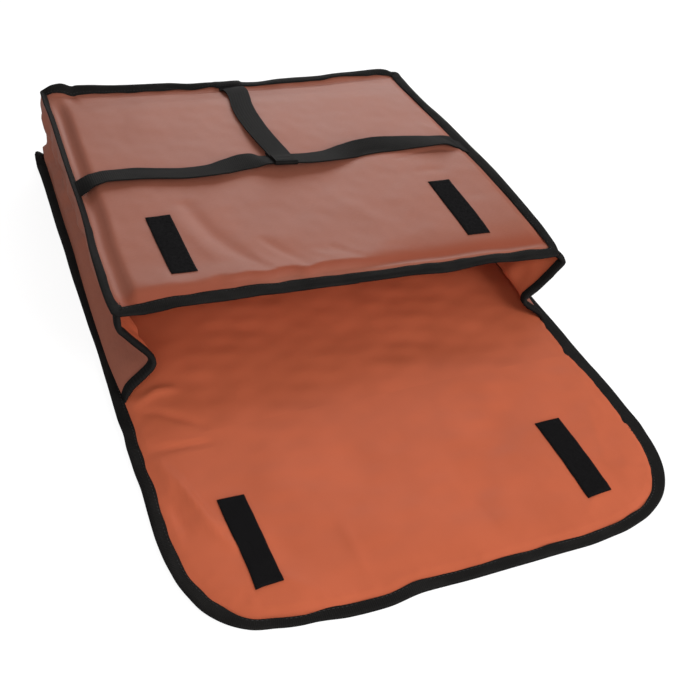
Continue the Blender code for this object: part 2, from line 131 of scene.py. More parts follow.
@dataclass(frozen=True)
class Profile:
    """A smooth curve through (place, value) pairs, level beyond its ends, without overshoot."""

    pairs: Pairs

    def __call__(self, place: Array) -> Array:
        """Reads the curve.

        Args:
            place: Places along the curve.

        Returns:
            The value at each place.
        """
        places, values = (np.array(column, float) for column in zip(*self.pairs))
        secants = np.diff(values) / np.diff(places)
        before, after = secants[:-1], secants[1:]
        turns = before * after <= 0.0
        both = np.where(turns, 1.0, before + after)
        slopes = np.zeros(len(places))
        slopes[1:-1] = np.where(turns, 0.0, 2.0 * before * after / both)
        inside = np.clip(place, places[0], places[-1])
        index = np.clip(np.searchsorted(places, inside, side="right") - 1, 0, len(places) - 2)
        span = places[index + 1] - places[index]
        t = (inside - places[index]) / span
        rest = 1.0 - t
        return (
            values[index] * (1.0 + 2.0 * t) * rest * rest
            + slopes[index] * span * t * rest * rest
            + values[index + 1] * t * t * (3.0 - 2.0 * t)
            - slopes[index + 1] * span * t * t * rest
        )


@dataclass(frozen=True)
class Wrinkle:
    """A soft ridge along a bent line, or a groove where its height is negative. Sizes in mm."""

    points: Pairs
    height: float
    half_width: float
    lean: float = 0.0

    def __call__(self, x: Array, y: Array) -> Array:
        """Height of the wrinkle in metres.

        Args:
            x: Places across, in metres.
            y: Places along, in metres.

        Returns:
            The height at each place.
        """
        nearest = np.full(np.shape(x), 1e9)
        share = np.zeros(np.shape(x))
        side = np.zeros(np.shape(x))
        points = np.array(self.points, float) * MM
        steps = np.diff(points, axis=0)
        lengths = np.hypot(steps[:, 0], steps[:, 1])
        gone = 0.0
        for (x0, y0), (dx, dy), length in zip(points, steps, lengths):
            along = np.clip(((x - x0) * dx + (y - y0) * dy) / length**2, 0.0, 1.0)
            off_x, off_y = x - x0 - along * dx, y - y0 - along * dy
            distance = np.hypot(off_x, off_y)
            closer = distance < nearest
            nearest = np.where(closer, distance, nearest)
            share = np.where(closer, (gone + along * length) / lengths.sum(), share)
            side = np.where(closer, np.sign(dx * off_y - dy * off_x), side)
            gone += length
        width = self.half_width * MM * (1.0 + self.lean * side)
        taper = np.sqrt(np.clip(4.0 * share * (1.0 - share), 0.0, 1.0)) * 0.9 + 0.1
        return self.height * MM * taper * np.exp(-((nearest / width) ** 2))


@dataclass(frozen=True)
class Ripples:
    """Soft random waves, the same at each run. Height and distance between crests in metres."""

    height: float
    size: float
    seed: int
    count: int = 14

    def __call__(self, x: Array, y: Array) -> Array:
        """Height of the waves in metres.

        Args:
            x: Places across, in metres.
            y: Places along, in metres.

        Returns:
            The height at each place.
        """
        rng = np.random.default_rng(self.seed)
        total = np.zeros(np.shape(x))
        for _ in range(self.count):
            angle, phase = rng.uniform(0.0, math.tau, 2)
            wave = self.size * rng.uniform(0.7, 1.6)
            total += np.sin(math.tau * (x * math.cos(angle) + y * math.sin(angle)) / wave + phase)
        return self.height * (total / math.sqrt(self.count))


Relief = Wrinkle | Ripples


def total_of(reliefs: Sequence[Relief], x: Array, y: Array) -> Array:
    """Sum of several wrinkles' and ripples' heights, in metres.

    Args:
        reliefs: The wrinkles and ripples.
        x: Places across, in metres.
        y: Places along, in metres.

    Returns:
        The height at each place.
    """
    return sum((relief(x, y) for relief in reliefs), np.zeros(np.shape(x)))


class Side(IntEnum):
    """The bag's two sides, as the sign of x."""

    LEFT = -1
    RIGHT = 1

    @property
    def word(self) -> str:
        """The side's name in the names of pieces and nodes."""
        return self.name.lower()


class Layer(Enum):
    """A padded panel's surfaces: the lining's good side, the pad's back, the cover's good side."""

    LINING = "lining"
    BACK = "back"
    COVER = "cover"


@dataclass(frozen=True)
class Outline:
    """Plan of one panel: a rectangle with rounded front and rear corners."""

    left: float
    right: float
    front: float
    rear: float
    front_radius: float
    rear_radius: float

    def inset(self, distance: float) -> "Outline":
        """The same plan with its sides moved in by a distance."""
        return Outline(
            self.left + distance,
            self.right - distance,
            self.front + distance,
            self.rear - distance,
            max(self.front_radius - distance, 0.001),
            max(self.rear_radius - distance, 0.001),
        )

    def rounded(self, x: Array, y: Array) -> tuple[Array, Array]:
        """Moves points of the plain rectangle inside the rounded corners.

        Args:
            x: Places across, inside the rectangle.
            y: Places along, inside the rectangle.

        Returns:
            The moved places.
        """
        in_front = y < (self.front + self.rear) / 2
        radius = np.where(in_front, self.front_radius, self.rear_radius)
        centre_x = np.clip(x, self.left + radius, self.right - radius)
        centre_y = np.clip(y, self.front + self.front_radius, self.rear - self.rear_radius)
        off_x, off_y = x - centre_x, y - centre_y
        reach = np.hypot(off_x, off_y)
        share = np.maximum(np.abs(off_x), np.abs(off_y)) / np.where(reach > 0.0, reach, 1.0)
        return centre_x + off_x * share, centre_y + off_y * share

    def edge_distance(self, x: Array, y: Array) -> Array:
        """Distance of points inside the plan from its edge.

        Args:
            x: Places across.
            y: Places along.

        Returns:
            The distance at each place.
        """
        in_front = y < (self.front + self.rear) / 2
        radius = np.where(in_front, self.front_radius, self.rear_radius)
        half = (self.right - self.left) / 2
        beyond_x = np.abs(x - (self.left + self.right) / 2) - (half - radius)
        beyond_y = np.where(
            in_front, self.front + self.front_radius - y, y - self.rear + self.rear_radius
        )
        outside = np.hypot(np.maximum(beyond_x, 0.0), np.maximum(beyond_y, 0.0))
        return radius - outside - np.minimum(np.maximum(beyond_x, beyond_y), 0.0)

    def corner_arc(self, right: bool, rear: bool) -> list[Span]:
        """Points round one corner, anticlockwise.

        Args:
            right: True for a right-hand corner.
            rear: True for a rear corner.

        Returns:
            The points of the arc.
        """
        radius = self.rear_radius if rear else self.front_radius
        start = {(False, False): 180, (True, False): 270, (True, True): 0, (False, True): 90}
        centre_x = self.right - radius if right else self.left + radius
        centre_y = self.rear - radius if rear else self.front + radius
        steps = max(6, round(radius / 0.003))
        angles = [math.radians(start[right, rear] + 90 * i / steps) for i in range(steps + 1)]
        return [(centre_x + radius * math.cos(a), centre_y + radius * math.sin(a)) for a in angles]


def spaced(points: Line, spacing: float) -> tuple[Array, Array]:
    """Even places along a bent line.

    Args:
        points: Corners of the line.
        spacing: About how far apart the places are.

    Returns:
        The places, and how far along the line each one is.
    """
    corners = np.array(points, float)
    lengths = np.hypot(*np.diff(corners[:, :2], axis=0).T)
    along = np.concatenate([[0.0], np.cumsum(lengths)])
    count = max(2, round(along[-1] / spacing))
    at = np.linspace(0.0, along[-1], count + 1)
    return np.stack([np.interp(at, along, column) for column in corners.T], axis=1), at


# ---- mesh helpers


def unit_grid(columns: int, rows: int, flat: Span) -> Grid:
    """A grid on the unit square, with a UV map in metres.

    Args:
        columns: Cells across.
        rows: Cells along.
        flat: Size of the cloth laid flat.

    Returns:
        The grid.
    """
    bm = bmesh.new()
    bmesh.ops.create_grid(bm, x_segments=columns, y_segments=rows, size=0.5)
    bmesh.ops.translate(bm, vec=(0.5, 0.5, 0.0), verts=bm.verts)
    layer = bm.loops.layers.uv.new(UV_NAME)
    for face in bm.faces:
        for loop in face.loops:
            loop[layer].uv = (loop.vert.co.x * flat[0], loop.vert.co.y * flat[1])
    return bm


def shares(verts: Verts) -> tuple[Array, Array]:
    """Places of a unit grid's vertices across and along, from 0 to 1."""
    places = np.array([vert.co for vert in verts], float).reshape(-1, 3)
    return places[:, 0], places[:, 1]


def move_to(verts: Verts, places: Array) -> None:
    """Moves vertices to new places.

    Args:
        verts: The vertices.
        places: One place for each.
    """
    for vert, place in zip(verts, places):
        vert.co = place


def add_object(name: str, bm: Grid) -> Piece:
    """Turns a bmesh into a smooth-shaded object of the scene.

    Args:
        name: The piece's name.
        bm: The bmesh, which is freed.

    Returns:
        The object.
    """
    mesh = bpy.data.meshes.new(name)
    bm.to_mesh(mesh)
    bm.free()
    mesh.shade_smooth()
    piece = bpy.data.objects.new(name, mesh)
    bpy.context.scene.collection.objects.link(piece)
    return piece


def mark_painted_shade(piece: Piece, depth: Callable[[Array], Array]) -> None:
    """Notes at each vertex how much painted shade darkens the cloth's colour, where a fold lies in
    shade.

    Args:
        piece: The piece.
        depth: Gives the painted shade, from 0 to 1, at places of shape (n, 3).
    """
    places = np.array([vertex.co for vertex in piece.data.vertices])
    noted = piece.data.attributes.new("depth", "FLOAT", "POINT")
    noted.data.foreach_set("value", np.clip(depth(places), 0.0, 1.0).astype(np.float32))


def face_towards(bm: Grid, outside: Facing) -> None:
    """Turns an open sheet's faces so that they point outside.

    Args:
        bm: The sheet.
        outside: Gives the outside direction at a place.
    """
    bm.normal_update()
    total = sum(
        face.normal.dot(outside(face.calc_center_median())) * face.calc_area()
        for face in list(bm.faces)[:: max(1, len(bm.faces) // 400)]
    )
    if total < 0.0:
        bmesh.ops.reverse_faces(bm, faces=bm.faces)


def add_sheet(name: str, bm: Grid, thickness: float, offset: float = -1.0) -> Piece:
    """Turns an open grid into a sheet whose cut edges shade apart from its faces.

    Args:
        name: The piece's name.
        bm: The grid, which is freed.
        thickness: The sheet's thickness.
        offset: Where the thickness goes: -1 is inwards, 0 to both sides.

    Returns:
        The sheet.
    """
    for edge in bm.edges:
        if edge.is_boundary:
            edge.smooth = False
    piece = add_object(name, bm)
    modifier = piece.modifiers.new("Thickness", "SOLIDIFY")
    modifier.thickness, modifier.offset = thickness, offset
    modifier.use_even_offset = False
    return piece


@dataclass(frozen=True)
class Cloth:
    """A rectangle of cloth as a grid, laid in place by a function of its shares."""

    flat: Span
    cell: float

    def cells(self) -> tuple[int, int]:
        """Cells across and along."""
        return tuple(max(2, round(side / self.cell)) for side in self.flat)

    def sheet(
        self,
        name: str,
        shape: Surface,
        thickness: float,
        outside: Facing,
    ) -> Piece:
        """One layer of cloth with its thickness.

        Args:
            name: The piece's name.
            shape: Gives places from the shares across and along.
            thickness: The cloth's thickness.
            outside: Gives the direction that the good side faces.

        Returns:
            The piece.
        """
        bm = unit_grid(*self.cells(), self.flat)
        verts = list(bm.verts)
        move_to(verts, shape(*shares(verts)))
        face_towards(bm, outside)
        return add_sheet(name, bm, thickness)

    def pad(
        self,
        name: str,
        top: Surface,
        bottom: Surface,
    ) -> Piece:
        """A closed padded piece between two surfaces.

        Args:
            name: The piece's name.
            top: Gives the upper surface from the shares across and along.
            bottom: Gives the lower surface.

        Returns:
            The piece.
        """
        bm = unit_grid(*self.cells(), self.flat)
        lower = list(bm.verts)
        rim = [edge for edge in bm.edges if edge.is_boundary]
        made = bmesh.ops.extrude_face_region(bm, geom=bm.faces[:], use_keep_orig=True)
        upper = [item for item in made["geom"] if isinstance(item, bmesh.types.BMVert)]
        raised = set(upper)
        for edge in bm.edges:
            on_top = sum(vert in raised for vert in edge.verts) == 2
            walls = sum(any(vert not in raised for vert in face.verts) for face in edge.link_faces)
            if on_top and walls:
                edge.smooth = False
        for edge in rim:
            edge.smooth = False
        across, along = shares(upper)
        move_to(upper, top(across, along))
        across, along = shares(lower)
        move_to(lower, bottom(across, along))
        bmesh.ops.recalc_face_normals(bm, faces=bm.faces)
        return add_object(name, bm)


# ---- shader helpers


Value = "Sock | float | Sequence[float]"


class Sock:
    """A shader socket whose arithmetic adds Math nodes."""

    def __init__(self, tree: "ShaderTree", socket: bpy.types.NodeSocket) -> None:
        """Keeps the socket and the tree that it belongs to."""
        self.tree = tree
        self.socket = socket

    def _math(self, operation: str, first: Value, second: Value = 0.0) -> "Sock":
        """Adds one Math node."""
        return self.tree.node("Math", {"operation": operation}, {0: first, 1: second})

    def __add__(self, other: Value) -> "Sock":
        """Sum."""
        return self._math("ADD", self, other)

    def __radd__(self, other: Value) -> "Sock":
        """Sum with a number first."""
        return self._math("ADD", other, self)

    def __sub__(self, other: Value) -> "Sock":
        """Difference."""
        return self._math("SUBTRACT", self, other)

    def __rsub__(self, other: Value) -> "Sock":
        """Difference from a number."""
        return self._math("SUBTRACT", other, self)

    def __mul__(self, other: Value) -> "Sock":
        """Product."""
        return self._math("MULTIPLY", self, other)

    def __rmul__(self, other: Value) -> "Sock":
        """Product with a number first."""
        return self._math("MULTIPLY", other, self)

    def sine(self) -> "Sock":
        """Sine."""
        return self._math("SINE", self)

    def rise(self, start: float, end: float) -> "Sock":
        """Rises smoothly from 0 at start to 1 at end."""
        settings = {"interpolation_type": "SMOOTHSTEP"}
        return self.tree.node("MapRange", settings, {0: self, 1: start, 2: end, 3: 0.0, 4: 1.0})


class ShaderTree:
    """Adds the nodes of one material, or of the world."""

    def __init__(self, owner: bpy.types.Material | bpy.types.World) -> None:
        """Starts from the nodes that a new material or world has."""
        owner.use_nodes = True
        self.owner = owner
        self.nodes, self.links = owner.node_tree.nodes, owner.node_tree.links

    def connect(self, target: bpy.types.NodeSocket, value: Value) -> None:
        """Links a socket to another, or sets its value.

        Args:
            target: The input socket.
            value: A socket, a number, a vector or a colour without its alpha.
        """
        if isinstance(value, Sock):
            self.links.new(value.socket, target)
        else:
            target.default_value = (*value, 1.0) if target.type == "RGBA" else value

    def node(
        self,
        kind: str,
        settings: dict[str, object] | None = None,
        inputs: dict[int | str, Value] | None = None,
        output: int | str = 0,
    ) -> Sock:
        """Adds a node.

        Args:
            kind: The node's type, without its ShaderNode prefix.
            settings: Its settings, set first.
            inputs: Values or links of its sockets.
            output: The output to hand back.

        Returns:
            The output socket.
        """
        made = self.nodes.new("ShaderNode" + kind)
        for key, value in (settings or {}).items():
            setattr(made, key, value)
        for key, value in (inputs or {}).items():
            self.connect(made.inputs[key], value)
        return Sock(self, made.outputs[output])

    def cloth_place(self) -> tuple[Sock, Sock, Sock]:
        """The piece's own UV place.

        Returns:
            The place, whole and as its two numbers in metres.
        """
        place = self.node("UVMap", {"uv_map": UV_NAME})
        split = self.node("SeparateXYZ", None, {0: place})
        return place, split, Sock(self, split.socket.node.outputs[1])

    def noise(self, place: Sock, scale: Sequence[float], detail: float = 2.0) -> Sock:
        """Noise over a place that is stretched first.

        Args:
            place: Where the noise is read.
            scale: Waves for each metre along each axis.
            detail: How many finer layers it has.

        Returns:
            The noise, from 0 to 1.
        """
        stretched = self.node("Mapping", None, {"Vector": place, "Scale": tuple(scale)})
        return self.node("TexNoise", None, {"Vector": stretched, "Scale": 1.0, "Detail": detail})

    def blend(self, factor: Value, first: Value, second: Value) -> Sock:
        """Mixes two colours.

        Args:
            factor: Share of the second colour.
            first: A colour or a socket.
            second: A colour or a socket.

        Returns:
            The mixed colour.
        """
        return self.node("Mix", {"data_type": "RGBA"}, {0: factor, 6: first, 7: second}, 2)

    def bump(self, height: Sock, strength: float, distance: float) -> Sock:
        """Turns a height into a surface normal.

        Args:
            height: The height, from 0 to 1.
            strength: How much of it shows.
            distance: Metres from 0 to 1.

        Returns:
            The normal.
        """
        inputs = {"Strength": strength, "Distance": distance, "Height": height}
        return self.node("Bump", None, inputs)

    def done(self, **inputs: Value) -> bpy.types.Material:
        """Sets the Principled shader's sockets.

        Args:
            **inputs: Socket names with underscores for blanks, and their values.

        Returns:
            The material.
        """
        shader = self.nodes["Principled BSDF"]
        for key, value in inputs.items():
            self.connect(shader.inputs[key.replace("_", " ")], value)
        return self.owner


# ---- finishes


@dataclass(frozen=True)
class CoatedCloth:
    """Woven polyester with a thin satin coating: the outside of the bag, darkened by painted shade
    where a piece's depth attribute is set.
    """

    name: str
    colour: Triple
    deep: Triple
    # Painted shade: the darker colour that the cover takes where its depth attribute marks the
    # shaded fold.
    folded: Triple = (0.262, 0.0650, 0.0345)
    roughness: float = 0.52
    sheen: float = 0.15
    pitch: float = 0.0011

    def material(self) -> bpy.types.Material:
        """Builds the material.

        Returns:
            The material.
        """
        tree = ShaderTree(bpy.data.materials.new(self.name))
        place, across, along = tree.cloth_place()
        turns = math.tau / self.pitch
        weave = (across * turns).sine() * (along * turns * 0.8).sine() * 0.5 + 0.5
        yarns = tree.noise(place, (160.0, 1500.0, 1.0), 2.0)
        cloud = tree.noise(place, (9.0, 7.0, 1.0), 3.0)
        tone = yarns.rise(0.3, 0.75) * 0.45 + cloud.rise(0.3, 0.7) * 0.45
        colour = tree.blend(tone, self.deep, self.colour)
        # Painted shade: the cover darkens towards the folded colour by the vertices' depth
        # attribute.
        depth = tree.node("Attribute", {"attribute_name": "depth"}, None, output="Fac")
        colour = tree.blend(depth, colour, self.folded)
        rough = (cloud - 0.5) * 0.12 + self.roughness
        normal = tree.bump(weave * 0.5 + yarns * 0.6, 0.35, 0.00022)
        return tree.done(
            Base_Color=colour, Roughness=rough, Normal=normal, Specular_IOR_Level=self.sheen
        )


@dataclass(frozen=True)
class LiningCloth:
    """Smooth lining cloth with a fine even weave and a soft sheen."""

    name: str
    colour: Triple
    deep: Triple
    roughness: float = 0.50
    sheen: float = 0.07
    pitch: float = 0.0009

    def material(self) -> bpy.types.Material:
        """Builds the material.

        Returns:
            The material.
        """
        tree = ShaderTree(bpy.data.materials.new(self.name))
        place, across, along = tree.cloth_place()
        turns = math.tau / self.pitch
        weave = (across * turns).sine() * (along * turns).sine() * 0.5 + 0.5
        yarns = tree.noise(place, (900.0, 900.0, 1.0), 1.0)
        cloud = tree.noise(place, (14.0, 11.0, 1.0), 3.0)
        colour = tree.blend(cloud.rise(0.3, 0.7) * 0.7 + yarns * 0.2, self.deep, self.colour)
        rough = (cloud - 0.5) * 0.14 + self.roughness
        normal = tree.bump(weave * 0.4 + yarns * 0.3, 0.25, 0.00018)
        return tree.done(
            Base_Color=colour, Roughness=rough, Normal=normal, Specular_IOR_Level=self.sheen
        )


@dataclass(frozen=True)
class RibbedTape:
    """Woven tape or webbing: fine ribs across, and a paler bloom on the raised yarns."""

    name: str
    colour: Triple
    bloom: Triple
    rib: float
    bump: float
    roughness: float = 0.72

    def material(self) -> bpy.types.Material:
        """Builds the material.

        Returns:
            The material.
        """
        tree = ShaderTree(bpy.data.materials.new(self.name))
        place, across, along = tree.cloth_place()
        rib = (along * (math.tau / self.rib)).sine() * 0.5 + 0.5
        yarn = (across * (math.tau / (self.rib * 1.5))).sine() * 0.5 + 0.5
        fuzz = tree.noise(place, (1400.0, 900.0, 1.0), 2.0)
        cloud = tree.noise(place, (90.0, 25.0, 1.0), 2.0)
        tone = rib * 0.35 + fuzz.rise(0.35, 0.75) * 0.35 + cloud.rise(0.35, 0.7) * 0.4
        colour = tree.blend(tone, self.colour, self.bloom)
        normal = tree.bump(rib * 0.7 + yarn * 0.25 + fuzz * 0.4, 0.6, self.bump)
        return tree.done(
            Base_Color=colour,
            Roughness=(cloud - 0.5) * 0.16 + self.roughness,
            Normal=normal,
            Specular_IOR_Level=0.06,
        )


class Pile(Enum):
    """Which half of the fastening a strip is."""

    HOOK = "hook"
    LOOP = "loop"


@dataclass(frozen=True)
class PileStrip:
    """Hook or loop tape: a dark field of tiny hooks in rows, or of matted loops."""

    pile: Pile
    colour: Triple = (0.0030, 0.0028, 0.0030)
    bloom: Triple = (0.018, 0.017, 0.018)

    def material(self) -> bpy.types.Material:
        """Builds the material.

        Returns:
            The material.
        """
        tree = ShaderTree(bpy.data.materials.new(self.pile.value + "_pile"))
        place, across, along = tree.cloth_place()
        if self.pile is Pile.HOOK:
            pitch = math.tau / 0.0016
            rows = (across * pitch).sine() * (along * pitch * 1.1).sine() * 0.5 + 0.5
            fuzz = tree.noise(place, (1100.0, 1100.0, 1.0), 2.0)
            height = rows * 0.6 + fuzz * 0.5
        else:
            fuzz = tree.noise(place, (1300.0, 900.0, 1.0), 4.0)
            mat = tree.noise(place, (380.0, 320.0, 1.0), 3.0)
            height = fuzz * 0.7 + mat * 0.6
        colour = tree.blend(height.rise(0.35, 0.95), self.colour, self.bloom)
        normal = tree.bump(height, 0.9, 0.0006)
        return tree.done(
            Base_Color=colour, Roughness=0.95, Normal=normal, Specular_IOR_Level=0.04
        )


@dataclass(frozen=True)
class Thread:
    """Twisted sewing thread."""

    name: str
    colour: Triple

    def material(self) -> bpy.types.Material:
        """Builds the material.

        Returns:
            The material.
        """
        tree = ShaderTree(bpy.data.materials.new(self.name))
        place = tree.node("TexCoord", None, None, "Object")
        twist = tree.noise(place, (2500.0, 2500.0, 2500.0), 1.0)
        darker = tuple(channel * 0.6 for channel in self.colour)
        colour = tree.blend(twist, darker, self.colour)
        return tree.done(Base_Color=colour, Roughness=0.7, Specular_IOR_Level=0.3)


class Finish(Enum):
    """The bag's finishes."""

    COVER = CoatedCloth("coated_cloth", (0.330, 0.1105, 0.0700), (0.275, 0.0905, 0.0570))
    LINING = LiningCloth("lining_cloth", (0.535, 0.1230, 0.0575), (0.463, 0.105, 0.048))
    TAPE = RibbedTape(
        "binding_tape", (0.0045, 0.0041, 0.0039), (0.016, 0.015, 0.0143), rib=0.0016, bump=0.00035
    )
    WEBBING = RibbedTape(
        "webbing", (0.0043, 0.0039, 0.0037), (0.015, 0.0138, 0.0132), rib=0.0021, bump=0.0005
    )
    HOOK = PileStrip(Pile.HOOK)
    LOOP = PileStrip(Pile.LOOP, bloom=(0.012, 0.0113, 0.012))
    THREAD = Thread("black_thread", (0.03, 0.03, 0.03))
    BAR_THREAD = Thread("bar_tack_thread", (0.045, 0.040, 0.038))


class Wardrobe:
    """Hands out each finish's material, made once."""

    def __init__(self) -> None:
        """Starts empty."""
        self.made: dict[Finish, bpy.types.Material] = {}

    def dress(self, piece: Piece, finish: Finish) -> None:
        """Gives a piece its material.

        Args:
            piece: The piece.
            finish: Its finish.
        """
        if finish not in self.made:
            self.made[finish] = finish.value.material()
        piece.data.materials.clear()
        piece.data.materials.append(self.made[finish])
        LOG.info("%s: %d faces, %s", piece.name, len(piece.data.polygons), finish.name.lower())


# ---- bound edges


@dataclass(frozen=True)
class BindingTape:
    """Tape folded over a panel's edge, as an open channel with its own thickness."""

    width: float = 0.0098
    height: float = 0.0046
    thickness: float = 0.0008
    spacing: float = 0.0028
    waves: float = 0.00045
    wave_sizes: Span = (0.035, 0.028)
    seam_place: Span = (-0.80, 1.03)
    seam_step: float = 0.002

    def section(self) -> Pairs:
        """The channel's outer line as (outwards, up) pairs from the lower lip to the upper."""
        w, h = self.width, self.height
        return (
            (-w, 0.0002), (-0.72 * w, -0.0001), (-0.40 * w, -0.0001), (-0.16 * w, 0.0002),
            (-0.03 * w, 0.25 * h), (0.0, 0.5 * h), (-0.03 * w, 0.75 * h), (-0.15 * w, 0.98 * h),
            (-0.38 * w, 1.07 * h), (-0.70 * w, 1.05 * h), (-0.93 * w, 0.97 * h), (-w, 0.86 * h),
        )

    def rail(self, path: Line, within: Outline | None, spacing: float) -> Rail:
        """Stations along a bound edge.

        Args:
            path: The edge in plan, anticlockwise round its panel.
            within: The panel's plan, where its corners are too tight for the tape and are mitred.
            spacing: Distance between stations.

        Returns:
            The stations' places, how far along each is, and their outward directions.
        """
        places, along = spaced(path, spacing)
        tangent = np.gradient(places, axis=0)
        tangent /= np.hypot(*tangent.T)[:, None]
        outward = np.stack([tangent[:, 1], -tangent[:, 0]], axis=1)
        if within is not None:
            room = within.inset(self.width)
            inner_x = np.clip(places[:, 0], room.left, room.right)
            inner_y = np.clip(places[:, 1], room.front, room.rear)
            outward = (places - np.stack([inner_x, inner_y], axis=1)) / self.width
        return places, along, outward

    def fitted(self, far: Array, up: Array, x: Array, y: Array, fit: Fit) -> tuple[Array, Array]:
        """Widens the section and turns it up about the tape's inner lip.

        Args:
            far: Distances outwards from the edge.
            up: Heights.
            x: Places across of the edge.
            y: Places along of the edge.
            fit: Gives the widening, the thinning and the turn in degrees at a place.

        Returns:
            The new distances and heights.
        """
        widening, thinning, degrees = fit(x, y)
        turn, lip, middle = np.radians(degrees), self.width * widening, self.height / 2
        out, rise = far * widening + lip, (up - middle) * thinning
        return (
            out * np.cos(turn) - rise * np.sin(turn) - lip,
            out * np.sin(turn) + rise * np.cos(turn) + middle,
        )

    def bind(
        self,
        name: str,
        path: Line,
        lay: Lay,
        seed: int,
        within: Outline | None,
        fit: Fit,
    ) -> Piece:
        """Binds an edge whose path runs anticlockwise round its panel.

        Args:
            name: The piece's name.
            path: The edge in plan.
            lay: Puts places of the plan and heights in the bag.
            seed: Picks the tape's slight waves.
            within: The panel's plan where its corners are mitred.
            fit: Gives the tape's widening, thinning and turn at a place of the plan.

        Returns:
            The tape.
        """
        places, along, outward = self.rail(path, within, self.spacing)
        section = np.array(self.section())
        bm = unit_grid(len(places) - 1, len(section) - 1, (along[-1], 2 * self.width + self.height))
        turn_uv(bm)
        verts = list(bm.verts)
        s, t = shares(verts)
        station = np.rint(s * (len(places) - 1)).astype(int)
        point = np.rint(t * (len(section) - 1)).astype(int)
        far, up = section[point].T
        at = along[station]
        lip = np.abs(t - 0.5) * 2.0
        outwards = Ripples(self.waves, self.wave_sizes[0], seed)
        upwards = Ripples(self.waves * 0.8, self.wave_sizes[1], seed + 1)
        far = far + outwards(at, at * 0.0) * lip
        up = up + upwards(at, at * 0.0) * smooth_share(t, 0.4, 1.0)
        far, up = self.fitted(far, up, *places[station].T, fit)
        x, y = (places[station] + outward[station] * far[:, None]).T
        move_to(verts, lay(x, y, up))
        face_out(bm, t, lambda index: Vector((*outward[station[index]], 0.0)))
        return add_sheet(name, bm, self.thickness)

    def sew(
        self,
        seam: "Seam",
        path: Line,
        lay: Lay,
        within: Outline | None,
        fit: Fit,
    ) -> None:
        """Adds the stitches along the tape's upper lip.

        Args:
            seam: Takes the stitches.
            path: The edge in plan.
            lay: Puts places of the plan and heights in the bag.
            within: The panel's plan where its corners are mitred.
            fit: Gives the tape's widening, thinning and turn at a place of the plan.
        """
        places, along, outward = self.rail(path, within, self.seam_step)
        far = np.full(len(along), self.seam_place[0] * self.width)
        up = np.full(len(along), self.seam_place[1] * self.height)
        far, up = self.fitted(far, up, *places.T, fit)
        x, y = (places + outward * far[:, None]).T
        seam.run(lay(x, y, up), np.tile((0.0, 0.0, 1.0), (len(along), 1)))


def turn_uv(bm: Grid) -> None:
    """Swaps the two directions of the UV map, so that its second one runs along the piece.

    Args:
        bm: The piece's grid.
    """
    layer = bm.loops.layers.uv[UV_NAME]
    for face in bm.faces:
        for loop in face.loops:
            across, along = loop[layer].uv
            loop[layer].uv = (along, across)


def face_out(bm: Grid, along_section: Array, outside: Callable[[int], Vector]) -> None:
    """Turns a channel's faces so that its middle points outside.

    Args:
        bm: The channel.
        along_section: Share of the section at each vertex.
        outside: Gives the outside direction at a vertex, by its number.
    """
    bm.normal_update()
    bm.verts.index_update()
    middle = next(
        face
        for face in bm.faces
        if all(abs(along_section[vert.index] - 0.5) < 0.2 for vert in face.verts)
    )
    if middle.normal.dot(outside(middle.verts[0].index)) < 0.0:
        bmesh.ops.reverse_faces(bm, faces=bm.faces)


def side_paths(plan: Outline, overlap: float) -> dict[str, list[Span]]:
    """Edges of a panel as paths that run anticlockwise. The front and rear ones take in their
    rounded corners.

    Args:
        plan: The panel's plan.
        overlap: How far the front and rear tapes run up the sides.

    Returns:
        The four paths by side.
    """
    front = [*plan.corner_arc(False, False), *plan.corner_arc(True, False)]
    rear = [*plan.corner_arc(True, True), *plan.corner_arc(False, True)]
    front_end, rear_end = front[0][1] + overlap, rear[0][1] - overlap
    return {
        "front": [(plan.left, front_end), *front, (plan.right, front_end)],
        "right": [(plan.right, front_end), (plan.right, rear_end)],
        "rear": [(plan.right, rear_end), *rear, (plan.left, rear_end)],
        "left": [(plan.left, rear_end), (plan.left, front_end)],
    }


@dataclass
class Seam:
    """A row of stitches: small beads of thread, pressed into what they sew."""

    pitch: float = 0.0036
    length: float = 0.0024
    radius: float = 0.00028
    places: list[tuple[Vector, Vector, Vector]] = field(default_factory=list)

    def run(self, points: Array, up: Array) -> None:
        """Adds stitches along a line.

        Args:
            points: Places close together along the line.
            up: The surface's direction at each place.
        """
        lengths = np.linalg.norm(np.diff(points, axis=0), axis=1)
        along = np.concatenate([[0.0], np.cumsum(lengths)])
        for at in np.arange(self.pitch, along[-1] - self.pitch / 2, self.pitch):
            ends = [
                Vector([float(np.interp(at + step, along, column)) for column in points.T])
                for step in (-self.length / 2, self.length / 2)
            ]
            normal = Vector([float(np.interp(at, along, column)) for column in up.T])
            self.places.append(((ends[0] + ends[1]) / 2, (ends[1] - ends[0]).normalized(), normal))

    def build(self, name: str) -> Piece:
        """Makes all the stitches as one piece.

        Args:
            name: The piece's name.

        Returns:
            The piece.
        """
        bm = bmesh.new()
        for centre, along, up in self.places:
            across = up.cross(along).normalized()
            turn = Matrix((along, across, along.cross(across))).transposed().to_4x4()
            size = Matrix.Diagonal((self.length / 2, self.radius, self.radius * 0.8, 1.0))
            place = Matrix.Translation(centre) @ turn @ size
            bmesh.ops.create_icosphere(bm, subdivisions=1, radius=1.0, matrix=place)
        return add_object(name, bm)


